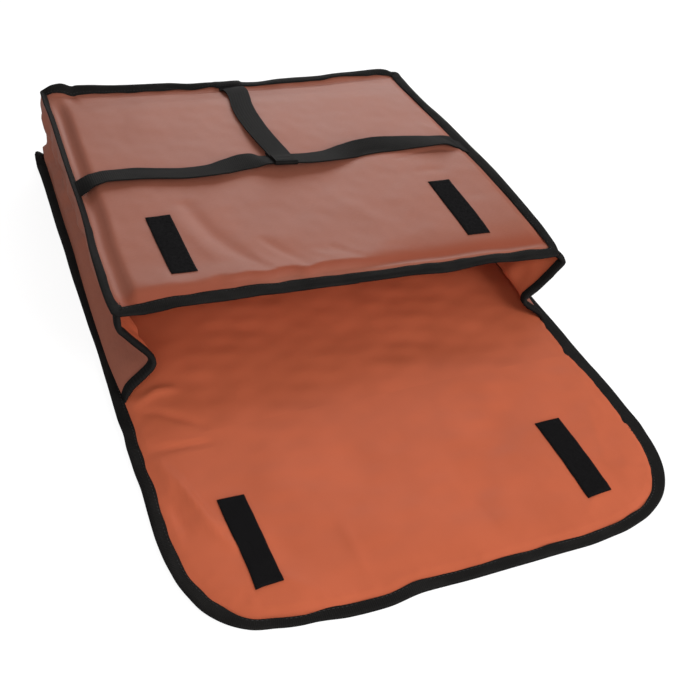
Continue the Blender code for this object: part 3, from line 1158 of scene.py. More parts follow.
def bound_edges(
    name: str,
    edges: Sequence[Edge],
    lay: Lay,
    seed: int,
    within: Outline | None,
    fit: Fit,
    wardrobe: Wardrobe,
) -> list[Piece]:
    """Binds and sews the edges of one panel.

    Args:
        name: The panel's name.
        edges: Each edge's name, its path and the nodes that its tape stands for.
        lay: Puts places of the plan and heights in the bag.
        seed: Picks the tapes' slight waves.
        within: The panel's plan where its corners are mitred.
        fit: Gives the tapes' widening, thinning and turn at a place of the plan.
        wardrobe: Gives the materials.

    Returns:
        The tapes, then the stitches.
    """
    pieces, seam, tape = [], Seam(), BindingTape()
    for number, (side, path, nodes) in enumerate(edges):
        bound = tape.bind(f"{name}_{side}_tape", path, lay, seed + 3 * number, within, fit)
        wardrobe.dress(bound, Finish.TAPE)
        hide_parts(*nodes)
        tape.sew(seam, path, lay, within, fit)
        pieces.append(bound)
    stitches = seam.build(f"{name}_tape_stitches")
    wardrobe.dress(stitches, Finish.THREAD)
    return [*pieces, stitches]


# ---- strips and the lid


@dataclass(frozen=True)
class Strip:
    """A sewn-on fastening strip with a matted pile and pressed edges. It starts at the place of
    its front end's middle, and its slant turns it about a share of its length."""

    side: Side
    width: float
    length: float
    seed: int
    start: Span
    slant: float
    pivot: float
    thickness: float = 0.0017
    rim: float = 0.0007
    gap: float = 0.0001
    swell_span: Span = (-0.0002, 0.0016)
    cell: float = 0.0011

    def top(self, a: Array, b: Array) -> Array:
        """Height of the pile above the panel.

        Args:
            a: Places across the strip from its middle.
            b: Places along it from its front end.

        Returns:
            The height at each place.
        """
        edge = np.minimum(self.width / 2 - np.abs(a), np.minimum(b, self.length - b))
        piles = Ripples(0.00022, 0.0022, self.seed), Ripples(0.0001, 0.006, self.seed + 1)
        swell = smooth_share(edge, *self.swell_span)
        return self.rim + (self.thickness - self.rim + total_of(piles, a, b)) * swell

    def spread(self, a: Array, b: Array) -> tuple[Array, Array]:
        """Puts places across and along the strip in the bag's plan."""
        slant = self.slant * (b / self.length - self.pivot)
        return self.start[0] + a + slant, self.start[1] + b

    def bottom(self, a: Array, b: Array) -> Array:
        """Height of the strip's back above the panel, the same everywhere."""
        return np.full(np.shape(a), self.gap)

    def build(self, name: str, lay: Lay) -> Piece:
        """Builds the strip.

        Args:
            name: The piece's name.
            lay: Puts places of the bag and heights above the panel in the bag.

        Returns:
            The strip.
        """
        def laid(s: Array, t: Array, height: Surface) -> Array:
            """Places of one of the strip's two surfaces, of which the height is given."""
            a, b = (s - 0.5) * self.width, t * self.length
            return lay(*self.spread(a, b), height(a, b))

        return Cloth((self.width, self.length), self.cell).pad(
            name, lambda s, t: laid(s, t, self.top), lambda s, t: laid(s, t, self.bottom)
        )


@dataclass
class Lid:
    """The padded lid: cover over foam, lining, four bound edges and two loop strips. Profiles
    are in mm, turns in degrees and widenings in shares, by place or distance in mm."""

    width: float = 0.466
    depth: float = 0.392
    reach: float = 0.388
    lean: float = 0.0055
    hinge_y: float = 0.340
    seam_z: float = 0.08135
    tilt: float = math.asin((0.0835 - 0.0700) / 0.392)
    front_radius: float = 0.0060
    rear_radius: float = 0.0090
    cell: float = 0.0030
    lining_cell: float = 0.0060
    inset: float = 0.0068
    rim_bottom: float = 0.0018
    lining_rim: float = 0.0011
    side_middle: float = 0.0016
    belly: float = 0.0022
    belly_span: Span = (0.011, 0.029)
    lining_sag: float = 0.0027
    lining_waves: Ripples = Ripples(0.0006, 0.05, 21)
    field_height: float = 0.0105
    crown: float = 0.0012
    twist: Row = (0.0062, -0.0045, 0.0030, -0.0030)
    rear_lift_span: Span = (0.050, 0.004)
    rear_stand_span: Span = (0.0165, 0.0085)
    front_lift_span: Span = (0.053, 0.010)
    front_droop_span: Span = (0.016, 0.0)
    right_span: Span = (0.110, 0.0)
    left_span: Span = (0.090, 0.0)
    fold_span: Span = (9.0, 20.0)
    left_front: Span = (-0.150, -0.105)
    # Spans across where the painted shade of the front fold passes from the left table to the
    # middle one, and from that to the right one.
    right_front: Span = (-0.010, 0.060)
    left_shadow: Span = (-0.150, -0.080)
    right_shadow: Span = (-0.010, 0.070)
    slope_across: Span = (0.040, 0.130)
    slope_along: Span = (0.070, 0.022)
    slope_drop: float = 0.0020
    left_shift: Profile = Profile(
        ((-388, -1.2), (-364, -2.8), (-343, -3.2), (-322, -3.5), (-299, -3.7), (-275, -2.6),
         (-260, -1.5), (-235, -0.9), (-210, -0.8), (-184, -1.1), (-157, -0.9), (-137, -0.7),
         (-97, -0.2), (-78, 0.2), (-55, 0.3), (-30, -0.3), (-14, 0))
    )
    right_shift: Profile = Profile(
        ((-388, 1.5), (-371, 3.6), (-353, 2.9), (-330, 2), (-300, 1.7), (-265, 1), (-230, 0),
         (-205, -1.8), (-180, -3.3), (-150, -4.1), (-120, -5.3), (-90, -7.7), (-56, -9.6),
         (-15, -10.6))
    )
    right_lift: Profile = Profile(
        ((-388, 0), (-330, 2.5), (-250, 3.8), (-180, 3.2), (-110, 1), (-60, -0.6), (0, -1.4))
    )
    rear_lift: Profile = Profile(
        ((-230, -0.6), (-223, 0.8), (-217, 2.1), (-210, 2.2), (-205, 1.3), (-200, -0.5),
         (-196, -1.5), (-190, 0.3), (-175, 0.1), (-160, -0.7), (-145, -1.4), (-115, -1.7),
         (-87, -2.1), (-57, -4.1), (-32, -3), (0, -3.2), (26, -4), (59, -2.6), (85, -2.7),
         (100, -2.3), (141, 1.3), (172, 2.8), (203, 4.1), (214, 3), (225, 0.1))
    )
    front_lift: Profile = Profile(
        ((-230, 0.4), (-218, -0.2), (-205, 1), (-192, 2.5), (-175, 3.4), (-157, 3.3),
         (-129, 3.5), (-101, 4.3), (-72, 2.8), (-31, 2.6), (10, 1.6), (54, 1.5), (99, 0.6),
         (145, 1.6), (181, -0.9), (212, -0.9), (228, -1.6))
    )
    left_turn: Profile = Profile(
        ((-388, 0), (-364, 2), (-343, 9), (-322, 19), (-299, 31), (-275, 37), (-235, 43),
         (-200, 45))
    )
    right_turn: Profile = Profile(((-388, 4), (-350, 18), (-300, 24), (0, 24)))
    rear_turn: Profile = Profile(
        ((-228, 38), (-200, 44), (-150, 38), (-60, 30), (-30, 12), (0, 0), (30, -5), (60, 3),
         (85, 8), (115, 5), (142, 3), (170, 10), (200, 18), (214, 22), (228, 22))
    )
    rear_widening: Profile = Profile(
        ((-228, 1), (-216, 1.15), (-202, 1.32), (-185, 1.25), (-150, 1.2), (-87, 1.2),
         (-57, 1.05), (-38, 1.1), (10, 1.3), (30, 1.38), (60, 1.3), (100, 1.18), (141, 1.12),
         (190, 1.25), (214, 1.2), (226, 1))
    )
    right_widening: Profile = Profile(
        ((-388, 0.95), (-374, 0.96), (-345, 1.08), (-291, 1.12), (-255, 1.3), (-190, 1.32),
         (-130, 1.27), (-105, 1.15), (-82, 1), (-56, 1.02), (-20, 1.22))
    )
    left_widening: Profile = Profile(
        ((-388, 1.2), (-364, 1.16), (-324, 1.06), (-283, 1), (-250, 0.88), (-200, 0.9),
         (-100, 0.88))
    )
    front_widening: Profile = Profile(((198, 1.18), (225, 1.02)))
    plain_widening: float = 0.88
    left_thinning: float = 0.42
    lip: Span = (0.012, 0.0)
    end_lip: Span = (0.010, 0.001)
    rear_turn_span: Span = (0.0, 0.014)
    strap_place: float = -0.0115
    strap_across: Span = (-0.0195, -0.0145)
    strap_along: Span = (-0.020, -0.010)
    strap_widening: float = 1.30
    strap_thickening: float = 0.35
    strap_turn: float = 8.0
    front_droop: Profile = Profile(
        ((-230, 0), (-218, 0), (-205, 2), (-192, 2.6), (-175, 1.2), (-157, 1.4), (-120, 2.5),
         (-72, 2), (54, 2), (99, 4), (145, 0.8), (181, 1.2), (212, 2.4), (228, 1.4))
    )
    # Painted shade along the front tape, as shares of the darker cover colour by distance in mm
    # from the front edge: left, middle and right of the lid.
    left_painted_shade: Profile = Profile(
        ((0, 0.6), (9, 0.9), (16, 0.95), (20, 0.75), (24, 0.4), (29, 0.12), (36, 0))
    )
    middle_painted_shade: Profile = Profile(
        ((0, 0), (15.5, 0.05), (18, 0.25), (20, 0.9), (21.5, 1), (23.5, 0.85), (26.5, 0.1),
         (30, 0))
    )
    right_painted_shade: Profile = Profile(
        ((0, 0), (16.5, 0), (18.5, 0.4), (21, 0.95), (24.5, 1), (28, 0.75), (33, 0.45), (39, 0.2),
         (50, 0))
    )
    front_left_edge: Profile = Profile(
        ((0, 0), (9.2, 0), (10.5, 0.06), (12.5, 0.2), (20, 0.84), (22.5, 1), (26, 1.05),
         (44, 1))
    )
    front_edge: Profile = Profile(
        ((0, 0), (9.2, 0), (11.5, 0.08), (17, 0.16), (18.8, 0.3), (20.5, 0.62), (22, 0.92),
         (23.5, 1.05), (26, 1.08), (31, 1.04), (46, 1))
    )
    front_right_edge: Profile = Profile(
        ((0, 0), (9.2, 0), (11.5, 0.32), (14, 0.3), (19, 0), (22, 0.12), (24, 0.34),
         (27, 0.56), (31, 0.76), (38, 0.9), (50, 1))
    )
    left_edge: Profile = Profile(
        ((0, 0), (8.3, 0.08), (9.4, 0.26), (10.6, 0.26), (13, 0.08), (15.5, 0.03), (17.5, 0.1),
         (19.5, 0.28), (22, 0.62), (24.5, 0.92), (27, 1), (48, 1))
    )
    right_edge: Profile = Profile(
        ((0, 0), (11, 0), (12.8, 0.24), (14.4, 0.46), (15.6, 0.5), (17, 0.36), (18.8, 0.64),
         (22, 0.92), (30, 1))
    )
    rear_edge: Profile = Profile(
        ((0, 0), (9, 0), (16.5, 0), (18.5, 0.1), (20.5, 0.2), (23, 0.23), (27, 0.29),
         (37, 0.52), (50, 0.82), (66, 1))
    )
    front_fold: Profile = Profile(
        ((-215, 0), (-201, 1.2), (-182, 1.2), (-165, 2.2), (-148, 2), (-134.6, -0.7),
         (-117.7, 2), (-104, 1.3), (-91, 3.2), (-82, 2), (-73, -0.4), (-61.5, -1.2),
         (-47.5, 3.6), (-38, 0.8), (-27, -0.2), (0, 0.6), (30, 0.5), (69, 0), (110, 0.8),
         (152, 0), (220, 0))
    )
    rear_fold: Profile = Profile(
        ((-186, 0), (-124, 0.3), (-60, 1.5), (0, 2.5), (24, 3), (63, 2.8), (117, 2), (160, 1),
         (200, 0))
    )
    rear_stand: Profile = Profile(
        ((-228, 0.5), (-217, 2.4), (-205, 3.2), (-190, 1.6), (-115, 1.1), (-60, 1.8), (0, 2.6),
         (60, 3), (117, 2.8), (160, 2.2), (200, 1.5), (225, 0.5))
    )
    wrinkles: tuple[Relief, ...] = (
        Wrinkle(
            ((-128, 98), (-121, 66), (-114, 38), (-103, 14), (-90, -6), (-76, -24)), -2.0, 8.5, 0.2
        ),
        Wrinkle(((-143, 88), (-138, 58), (-130, 26), (-116, -2)), 0.9, 8.0),
        Wrinkle(((-72, 28), (-62, 10), (-47, -9), (-36, -26)), -1.3, 5.5, 0.2),
        Wrinkle(((-86, 8), (-78, -8), (-68, -22)), 0.7, 5.0),
        Wrinkle(((-30, -2), (-16, -12), (-4, -16)), 0.7, 4.5),
        Wrinkle(((-8, 2), (8, -12), (26, -25)), -0.8, 4.5),
        Wrinkle(((56, -6), (76, -16), (100, -24)), -0.6, 6.0),
        Wrinkle(((126, 137), (156, 145), (185, 148), (208, 141), (219, 127)), -1.0, 3.2, 0.3),
        Wrinkle(((190, 158), (204, 152), (215, 140)), 0.7, 3.0),
        Wrinkle(((138, 108), (158, 110), (178, 107)), -0.6, 6.0),
        Wrinkle(((60, 70), (84, 40), (100, 12)), -0.7, 14.0),
        Wrinkle(((20, 90), (46, 50), (60, 10)), 0.6, 13.0),
        Wrinkle(((-205, 300), (-165, 322), (-120, 326)), 0.5, 8.0),
        Wrinkle(((-150, 250), (-100, 235), (-60, 240)), 0.8, 18.0),
        Wrinkle(((190, 210), (205, 190), (213, 175)), 0.8, 7.0),
        Ripples(0.00035, 0.075, 11),
        Ripples(0.00012, 0.022, 12),
    )
    strips: tuple[Strip, ...] = (
        Strip(Side.LEFT, 0.0236, 0.0890, 54, (-0.1551, -0.0118), slant=-0.0025, pivot=0.0),
        Strip(Side.RIGHT, 0.0262, 0.0955, 55, (0.1580, -0.0080), slant=0.0, pivot=0.0),
    )

    def plan(self) -> Outline:
        """The lid's plan, across and along from the seam at the back wall."""
        half = self.width / 2
        return Outline(
            -half, half, -self.reach, self.depth - self.reach, self.front_radius, self.rear_radius
        )

    def lift(self, u: Array, w: Array) -> Array:
        """How far the lid's middle surface stands off its flat plane, as it is twisted.

        Args:
            u: Places across.
            w: Places along.

        Returns:
            The height at each place.
        """
        plan = self.plan()
        right, back = u / self.width + 0.5, (w + self.reach) / self.depth
        front_left, front_right, rear_left, rear_right = self.twist
        front, rear = mixed(front_left, front_right, right), mixed(rear_left, rear_right, right)
        return mixed(front, rear, back) + MM * (
            self.rear_lift(u / MM) * near_edge(w, plan.rear, self.rear_lift_span)
            + self.rear_stand(u / MM) * near_edge(w, plan.rear, self.rear_stand_span)
            + self.front_lift(u / MM) * near_edge(-w, -plan.front, self.front_lift_span)
            - self.front_droop(u / MM) * near_edge(-w, -plan.front, self.front_droop_span)
            + self.right_lift(w / MM) * near_edge(u, plan.right, self.right_span)
        )

    def shift(self, u: Array, w: Array) -> Array:
        """How far the lid's sides bow out to the right of their straight lines.

        Args:
            u: Places across.
            w: Places along.

        Returns:
            The distance at each place.
        """
        plan = self.plan()
        return MM * (
            self.left_shift(w / MM) * near_edge(-u, -plan.left, self.left_span)
            + self.right_shift(w / MM) * near_edge(u, plan.right, self.right_span)
        )

    def place(self, u: Array, w: Array, h: Array) -> Array:
        """Puts places of the plan and heights above the tape's underside in the bag.

        Args:
            u: Places across.
            w: Places along.
            h: Heights.

        Returns:
            The places in the bag.
        """
        u, w, h = np.broadcast_arrays(u, w, h)
        up = h + self.lift(u, w)
        cos, sin = math.cos(self.tilt), math.sin(self.tilt)
        x = self.lean + u + self.shift(u, w)
        y, z = self.hinge_y + w * cos - up * sin, self.seam_z + w * sin + up * cos
        return np.stack([x, y, z], axis=-1)

    def top_height(self, u: Array, w: Array) -> Array:
        """Height of the cover's outside above the tape's underside.

        Args:
            u: Places across.
            w: Places along.

        Returns:
            The height at each place.
        """
        plan = self.plan()
        front, rear = (w - plan.front) / MM, (plan.rear - w) / MM
        front = front + self.front_fold(u / MM) * smooth_share(front, *self.fold_span)
        rear = rear - self.rear_fold(u / MM) * smooth_share(rear, *self.fold_span)
        edge = self.front_left_edge(front)
        edge = mixed(edge, self.front_edge(front), smooth_share(u, *self.left_front))
        edge = mixed(edge, self.front_right_edge(front), smooth_share(u, *self.right_front))
        raise_share = (
            edge
            * self.left_edge((u - plan.left) / MM)
            * self.right_edge((plan.right - u) / MM)
            * self.rear_edge(rear)
        )
        slope = smooth_share(u, *self.slope_across) * near_edge(-w, -plan.front, self.slope_along)
        across, along = 2 * u / self.width, 2 * (w - plan.front) / self.depth - 1
        dome = np.clip((1 - across**2) * (1 - along**2), 0.0, 1.0)
        soft = total_of(self.wrinkles, u + self.lean, w + self.hinge_y)
        field = self.field_height + self.crown * dome + soft - self.slope_drop * slope
        return mixed(self.rim_bottom + COVER_CLOTH, field, raise_share)

    def painted_fold_shade(self, places: Array) -> Array:
        """Painted shade in the fold along the front tape, which darkens the cover's colour there.

        Args:
            places: Places in the bag, of shape (n, 3).

        Returns:
            The painted shade at each place, from 0 to 1.
        """
        u, w = places[:, 0] - self.lean, (places[:, 1] - self.hinge_y) / math.cos(self.tilt)
        front = (w - self.plan().front) / MM + self.front_fold(u / MM)
        depth = self.left_painted_shade(front)
        depth = mixed(depth, self.middle_painted_shade(front), smooth_share(u, *self.left_shadow))
        return mixed(depth, self.right_painted_shade(front), smooth_share(u, *self.right_shadow))

    def spread(self, s: Array, t: Array) -> tuple[Array, Array, Array]:
        """Places of the lid's cloth in the plan.

        Args:
            s: Shares across.
            t: Shares along.

        Returns:
            Places across and along, and how far inside the tape they are, from 0 to 1.
        """
        plan = self.plan().inset(self.inset)
        u = plan.left + (plan.right - plan.left) * s
        w = plan.front + (plan.rear - plan.front) * t
        u, w = plan.rounded(u, w)
        return u, w, smooth_share(self.plan().edge_distance(u, w), *self.belly_span)

    def cover_top(self, s: Array, t: Array) -> Array:
        """Places of the padded cover's good side."""
        u, w, _ = self.spread(s, t)
        return self.place(u, w, self.top_height(u, w))

    def cover_bottom(self, s: Array, t: Array) -> Array:
        """Places of the padded cover's hidden side."""
        u, w, inside = self.spread(s, t)
        return self.place(u, w, self.rim_bottom - self.belly * inside)

    def lining_places(self, s: Array, t: Array) -> Array:
        """Places of the lining's good side, which faces down."""
        u, w, inside = self.spread(s, t)
        sag = self.lining_sag + self.lining_waves(u, w)
        return self.place(u, w, self.lining_rim - inside * sag)

    def build(self, wardrobe: Wardrobe) -> None:
        """Builds and dresses the lid's pieces.

        Args:
            wardrobe: Gives the materials.
        """
        flat = (self.width, self.depth)
        cover = Cloth(flat, self.cell).pad("lid_cover", self.cover_top, self.cover_bottom)
        # Painted shade on the cover along its front fold.
        mark_painted_shade(cover, self.painted_fold_shade)
        wardrobe.dress(cover, Finish.COVER)
        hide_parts("top_outer_cover", "top_foam")
        lining = Cloth(flat, self.lining_cell).sheet(
            "lid_lining", self.lining_places, THIN_CLOTH, lambda place: Vector((0, 0, -1))
        )
        wardrobe.dress(lining, Finish.LINING)
        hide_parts("top_lining")
        plan = self.plan()
        paths = side_paths(plan, BindingTape.width).items()
        edges = [(side, path, [f"top_{side}_binding"]) for side, path in paths]
        tapes = bound_edges("lid", edges, self.place, 30, plan, self.tape_fit, wardrobe)
        pieces = [cover, lining, *tapes]
        for strip in self.strips:
            piece = strip.build(f"lid_loop_{strip.side.word}", self.on_cover)
            wardrobe.dress(piece, Finish.LOOP)
            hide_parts(f"loop_strip_{strip.side.word}")
            pieces.append(piece)
        for piece in pieces:
            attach(piece, "lid")

    def tape_fit(self, u: Array, w: Array) -> tuple[Array, Array, Array]:
        """How the bound edge differs from plain tape at places of the edge.

        Args:
            u: Places across.
            w: Places along.

        Returns:
            Widening, thinning and degrees that the tape stands up.
        """
        plan = self.plan()
        on_left, on_right = near_edge(-u, -plan.left, self.lip), near_edge(u, plan.right, self.lip)
        on_front = near_edge(-w, -plan.front, self.end_lip)
        on_rear = near_edge(w, plan.rear, self.end_lip)
        on_side = smooth_share(plan.rear - w, *self.rear_turn_span)
        side_turn = np.where(u < 0.0, self.left_turn(w / MM), self.right_turn(w / MM))
        turn = mixed(self.rear_turn(u / MM), side_turn, on_side)
        widening = np.where(u < 0.0, self.left_widening(w / MM), self.plain_widening)
        widening = mixed(widening, self.right_widening(w / MM), on_right)
        widening = mixed(widening, self.front_widening(-u / MM), on_front)
        widening = widening * mixed(1.0, self.rear_widening(u / MM), on_rear)
        over_strap = smooth_share(-np.abs(u - self.strap_place), *self.strap_across)
        over_strap = over_strap * smooth_share(w, *self.strap_along)
        widening = mixed(widening, self.strap_widening, over_strap)
        thinning = 1.0 - self.left_thinning * on_left + self.strap_thickening * over_strap
        return widening, thinning, mixed(turn, self.strap_turn, over_strap)

    def side_rise(self, side: Side, w: Array, from_edge: float) -> Array:
        """Height of the middle of a side's tape, at a distance in from its edge."""
        turn = (self.left_turn if side is Side.LEFT else self.right_turn)(w / MM)
        return self.side_middle + (BindingTape.width - from_edge) * np.sin(np.radians(turn))

    def on_cover(self, x: Array, y: Array, h: Array) -> Array:
        """Puts places of the bag and heights above the cover in the bag."""
        u, w = x - self.lean, y - self.hinge_y
        return self.place(u, w, self.top_height(u, w) + h)


# ---- base and flap


@dataclass(frozen=True)
class Stretch:
    """One of the two lengths of cloth in base and flap: its ends, the two bodies that it belongs
    to, the fold between them and the parts whose solids it stands for."""

    name: str
    start: float
    end: float
    bodies: tuple[str, str]
    fold: float
    parts: tuple[str, ...]


@dataclass
class Ground:
    """The padded base and the flap that it runs on into: lining over foam, cover, bound edges
    and two hook strips. Two pieces of each cloth meet in the middle of the flap's wall. Profiles
    are as the lid's."""

    width: float = 0.466
    middle: float = -0.0055
    rear: float = 0.344
    front: float = -0.344
    fold: float = -0.084
    tip_fold: float = -0.188
    split: float = -0.136
    front_radius: float = 0.092
    rear_radius: float = 0.006
    inset: float = 0.0012
    cell: float = 0.0034
    front_drift: Profile = Profile(
        ((-235, 0.5), (-212, 2.6), (-194, 4.2), (-173, 8), (-150, 8.2), (-120, 3.6), (-90, 2.2),
         (-55, 5.2), (-20, 3.7), (20, 2.8), (57, 2.3), (97, 1.3), (129, 3.6), (158, 5.6),
         (174, 5.4), (205, 2.5), (228, 1))
    )
    left_drift: Profile = Profile(
        ((-330, 0.3), (-305, 1.4), (-285, 3.1), (-265, 2.8), (-245, 0.9), (-225, 0),
         (-199, 0.6), (-178, 1.1), (-156, 0.2), (-133, 0.1), (-115, 1.1), (-97, 0.2),
         (-78, 0.5), (-58, 0.9), (-38, 1.1), (-3, 1.5), (34, 0.8), (73, 0.6), (115, 0.2),
         (159, 0.8), (206, 0.4), (256, 0.9), (299, 1), (331, 0.2))
    )
    right_drift: Profile = Profile(
        ((-344, -3), (-300, -3.9), (-275, -4.2), (-258, -3.3), (-237, -0.8), (-219, -0.6),
         (-184, 0.3), (-165, 0), (-150, -0.8), (-125, -1.1), (-100, -0.6), (-80, 0))
    )
    left_widening: Profile = Profile(
        ((-60, 1), (0, 1.1), (73, 1.16), (159, 1.16), (206, 1.1), (256, 1.2), (299, 1.28))
    )
    corner_curl: float = 0.012
    rim_top: float = 0.0032
    field_top: float = 0.0080
    wrinkles: tuple[Relief, ...] = (
        Wrinkle(((-229, -90), (-213, -84), (-199, -78), (-182, -80)), 2.4, 4.6, 0.3),
        Wrinkle(((-226, -97), (-207, -102), (-190, -114), (-167, -131)), -1.9, 4.6),
        Wrinkle(((-226, -139), (-214, -144), (-203, -146), (-182, -148), (-169, -149)), -2.2, 3.6),
        Wrinkle(((-218, -152), (-218, -178), (-218, -206)), 3.6, 3.8, 0.4),
        Wrinkle(
            ((-211, -169), (-206, -191), (-199, -214), (-193, -228), (-186, -243)), 4.4, 4.2, -0.5
        ),
        Wrinkle(((-220, -192), (-218, -214), (-214, -239)), -2.8, 4.2),
        Wrinkle(((-204, -221), (-194, -241), (-182, -265)), 2.4, 4.5, -0.3),
        Wrinkle(((-160, -298), (-148, -312), (-132, -325)), 1.0, 4.5),
        Wrinkle(((-214, -262), (-205, -285), (-190, -303)), 0.9, 6.0),
        Wrinkle(((-96, -262), (-95, -290), (-94, -322)), 0.8, 3.5),
        Wrinkle(((20, -262), (24, -290), (29, -314)), -0.6, 3.0),
        Wrinkle(((135, -160), (90, -205), (42, -258), (5, -300)), -1.5, 17.0),
        Wrinkle(((80, -228), (50, -275), (30, -312)), 1.0, 13.0),
        Wrinkle(((-55, -240), (-80, -275), (-120, -305)), 0.8, 16.0),
        Wrinkle(((104, -321), (130, -305), (152, -295)), 0.9, 4.5),
        Wrinkle(((186, -205), (176, -235), (160, -285)), 0.9, 7.0),
        Wrinkle(((206, -160), (198, -190), (196, -225)), 0.8, 5.0, 0.3),
        Wrinkle(((170, -158), (182, -180), (180, -205)), -0.7, 7.0),
        Ripples(0.0007, 0.085, 61),
        Ripples(0.00028, 0.030, 62),
    )
    pucker: Ripples = Ripples(0.0005, 0.012, 63)
    pucker_spans: tuple[Span, Span] = ((0.0080, 0.0130), (0.0150, 0.0300))
    swell_spans: tuple[Span, Span] = ((0.0085, 0.0420), (0.0085, 0.0160))
    steepness: float = 0.45
    lifted_hem: float = 0.0011
    hem_span: Span = (0.0085, 0.0220)
    cover_gap: float = 0.0013
    cover_cell: float = 0.006
    front_span: Span = (0.210, 0.335)
    right_span: Span = (0.120, 0.0)
    left_span: Span = (0.100, 0.0)
    side_span: Span = (0.190, 0.222)
    curled_span: Span = (0.040, 0.110)
    wide_span: Span = (-0.262, -0.232)
    flap_span: Span = (0.060, 0.110)
    pinch_place: float = -0.176
    pinch_spans: tuple[Span, Span] = ((0.300, 0.335), (-0.050, -0.022))
    widenings: Row = (0.57, 0.42, 0.08, -0.29)
    curled_turn: float = 6.0
    corner_spans: tuple[Span, Span] = ((0.018, 0.0), (0.2160, 0.2385))
    strips: tuple[Strip, ...] = (
        Strip(Side.LEFT, 0.0231, 0.0940, 84, (-0.1710, -0.3055), slant=-0.0030, pivot=0.5),
        Strip(Side.RIGHT, 0.0268, 0.0940, 85, (0.1350, -0.3055), slant=0.0016, pivot=0.5),
    )

    def plan(self) -> Outline:
        """The plan of base and flap together."""
        half = self.width / 2
        return Outline(
            self.middle - half, self.middle + half, self.front, self.rear,
            self.front_radius, self.rear_radius,
        )

    def top_height(self, x: Array, y: Array) -> Array:
        """Height of the lining's good side above the floor.

        Args:
            x: Places across.
            y: Places along.

        Returns:
            The height at each place.
        """
        edge = self.plan().edge_distance(x, y)
        gentle, steep = (smooth_share(edge, *span) for span in self.swell_spans)
        begin, fade = (smooth_share(edge, *span) for span in self.pucker_spans)
        soft = total_of(self.wrinkles, x, y) + begin * (1.0 - fade) * self.pucker(x, y)
        return mixed(self.rim_top, self.field_top + soft, mixed(gentle, steep, self.steepness))

    def bottom_height(self, x: Array, y: Array) -> Array:
        """Height of the outer cover's good side above the floor."""
        edge = self.plan().edge_distance(x, y)
        return self.lifted_hem * (1.0 - smooth_share(edge, *self.hem_span))

    def surface(self, stretch: Stretch, layer: Layer, s: Array, t: Array) -> Array:
        """Places of one of a stretch's surfaces.

        Args:
            stretch: The stretch.
            layer: The surface.
            s: Shares across.
            t: Shares along.

        Returns:
            The places in the bag.
        """
        plan = self.plan().inset(self.inset)
        low, high = max(stretch.start, plan.front), min(stretch.end, plan.rear)
        x, y = plan.rounded(plan.left + (plan.right - plan.left) * s, low + (high - low) * t)
        if layer is Layer.LINING:
            return self.lay(x, y, self.top_height(x, y))
        gap = self.cover_gap if layer is Layer.BACK else 0.0
        return self.lay(x, y, self.bottom_height(x, y) + gap)

    def drifted(self, x: Array, y: Array) -> tuple[Array, Array]:
        """Moves places of the plain plan as the flap has drifted out of its true shape.

        Args:
            x: Places across.
            y: Places along.

        Returns:
            The moved places.
        """
        plan = self.plan()
        near_right = near_edge(x, plan.right, self.right_span)
        near_left = near_edge(-x, -plan.left, self.left_span)
        sideways = self.right_drift(y / MM) * near_right + self.left_drift(y / MM) * near_left
        forwards = self.front_drift(x / MM) * smooth_share(-y, *self.front_span)
        return x + MM * sideways, y + MM * forwards

    def tape_fit(self, x: Array, y: Array) -> tuple[Array, Array, Array]:
        """How the bound edge differs from plain tape at places of the edge.

        Args:
            x: Places across.
            y: Places along.

        Returns:
            Widening, thinning and degrees that the tape stands up.
        """
        on_left, on_right = smooth_share(-x, *self.side_span), smooth_share(x, *self.side_span)
        curled = on_right * smooth_share(-y, *self.curled_span)
        wide = curled * smooth_share(y, *self.wide_span)
        on_flap = on_left * smooth_share(-y, *self.flap_span)
        at_front, near_pinch = self.pinch_spans
        pinched = smooth_share(-y, *at_front)
        pinched = pinched * smooth_share(-np.abs(x - self.pinch_place), *near_pinch)
        zones = zip(self.widenings, (curled, wide, on_flap, pinched))
        widening = sum((amount * zone for amount, zone in zones), 1.0)
        widening = widening * mixed(1.0, self.left_widening(y / MM), on_left)
        return widening, np.ones_like(x), self.curled_turn * curled

    def build(self, wardrobe: Wardrobe) -> None:
        """Builds and dresses the base and the flap.

        Args:
            wardrobe: Gives the materials.
        """
        for stretch in (
            Stretch("base", self.split, self.rear, ("base", "flap_wall"), self.fold, ("base",)),
            Stretch(
                "flap", self.front, self.split, ("flap_wall", "flap_tip"), self.tip_fold,
                ("flap_wall", "flap_tip"),
            ),
        ):
            within = self.plan() if stretch.name == "base" else None
            edges = self.tape_paths(stretch.name)
            pieces = self.cloths(stretch, wardrobe) + bound_edges(
                stretch.name, edges, self.lay, 76, within, self.tape_fit, wardrobe
            )
            start, end = (0, stretch.fold + 0.006, 0), (0, stretch.fold - 0.018, 0)
            for piece in pieces:
                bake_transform(piece)
        for strip in self.strips:
            piece = strip.build(f"flap_hook_{strip.side.word}", self.on_lining)
            wardrobe.dress(piece, Finish.HOOK)
            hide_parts(f"hook_strip_{strip.side.word}")
            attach(piece, "flap_tip")

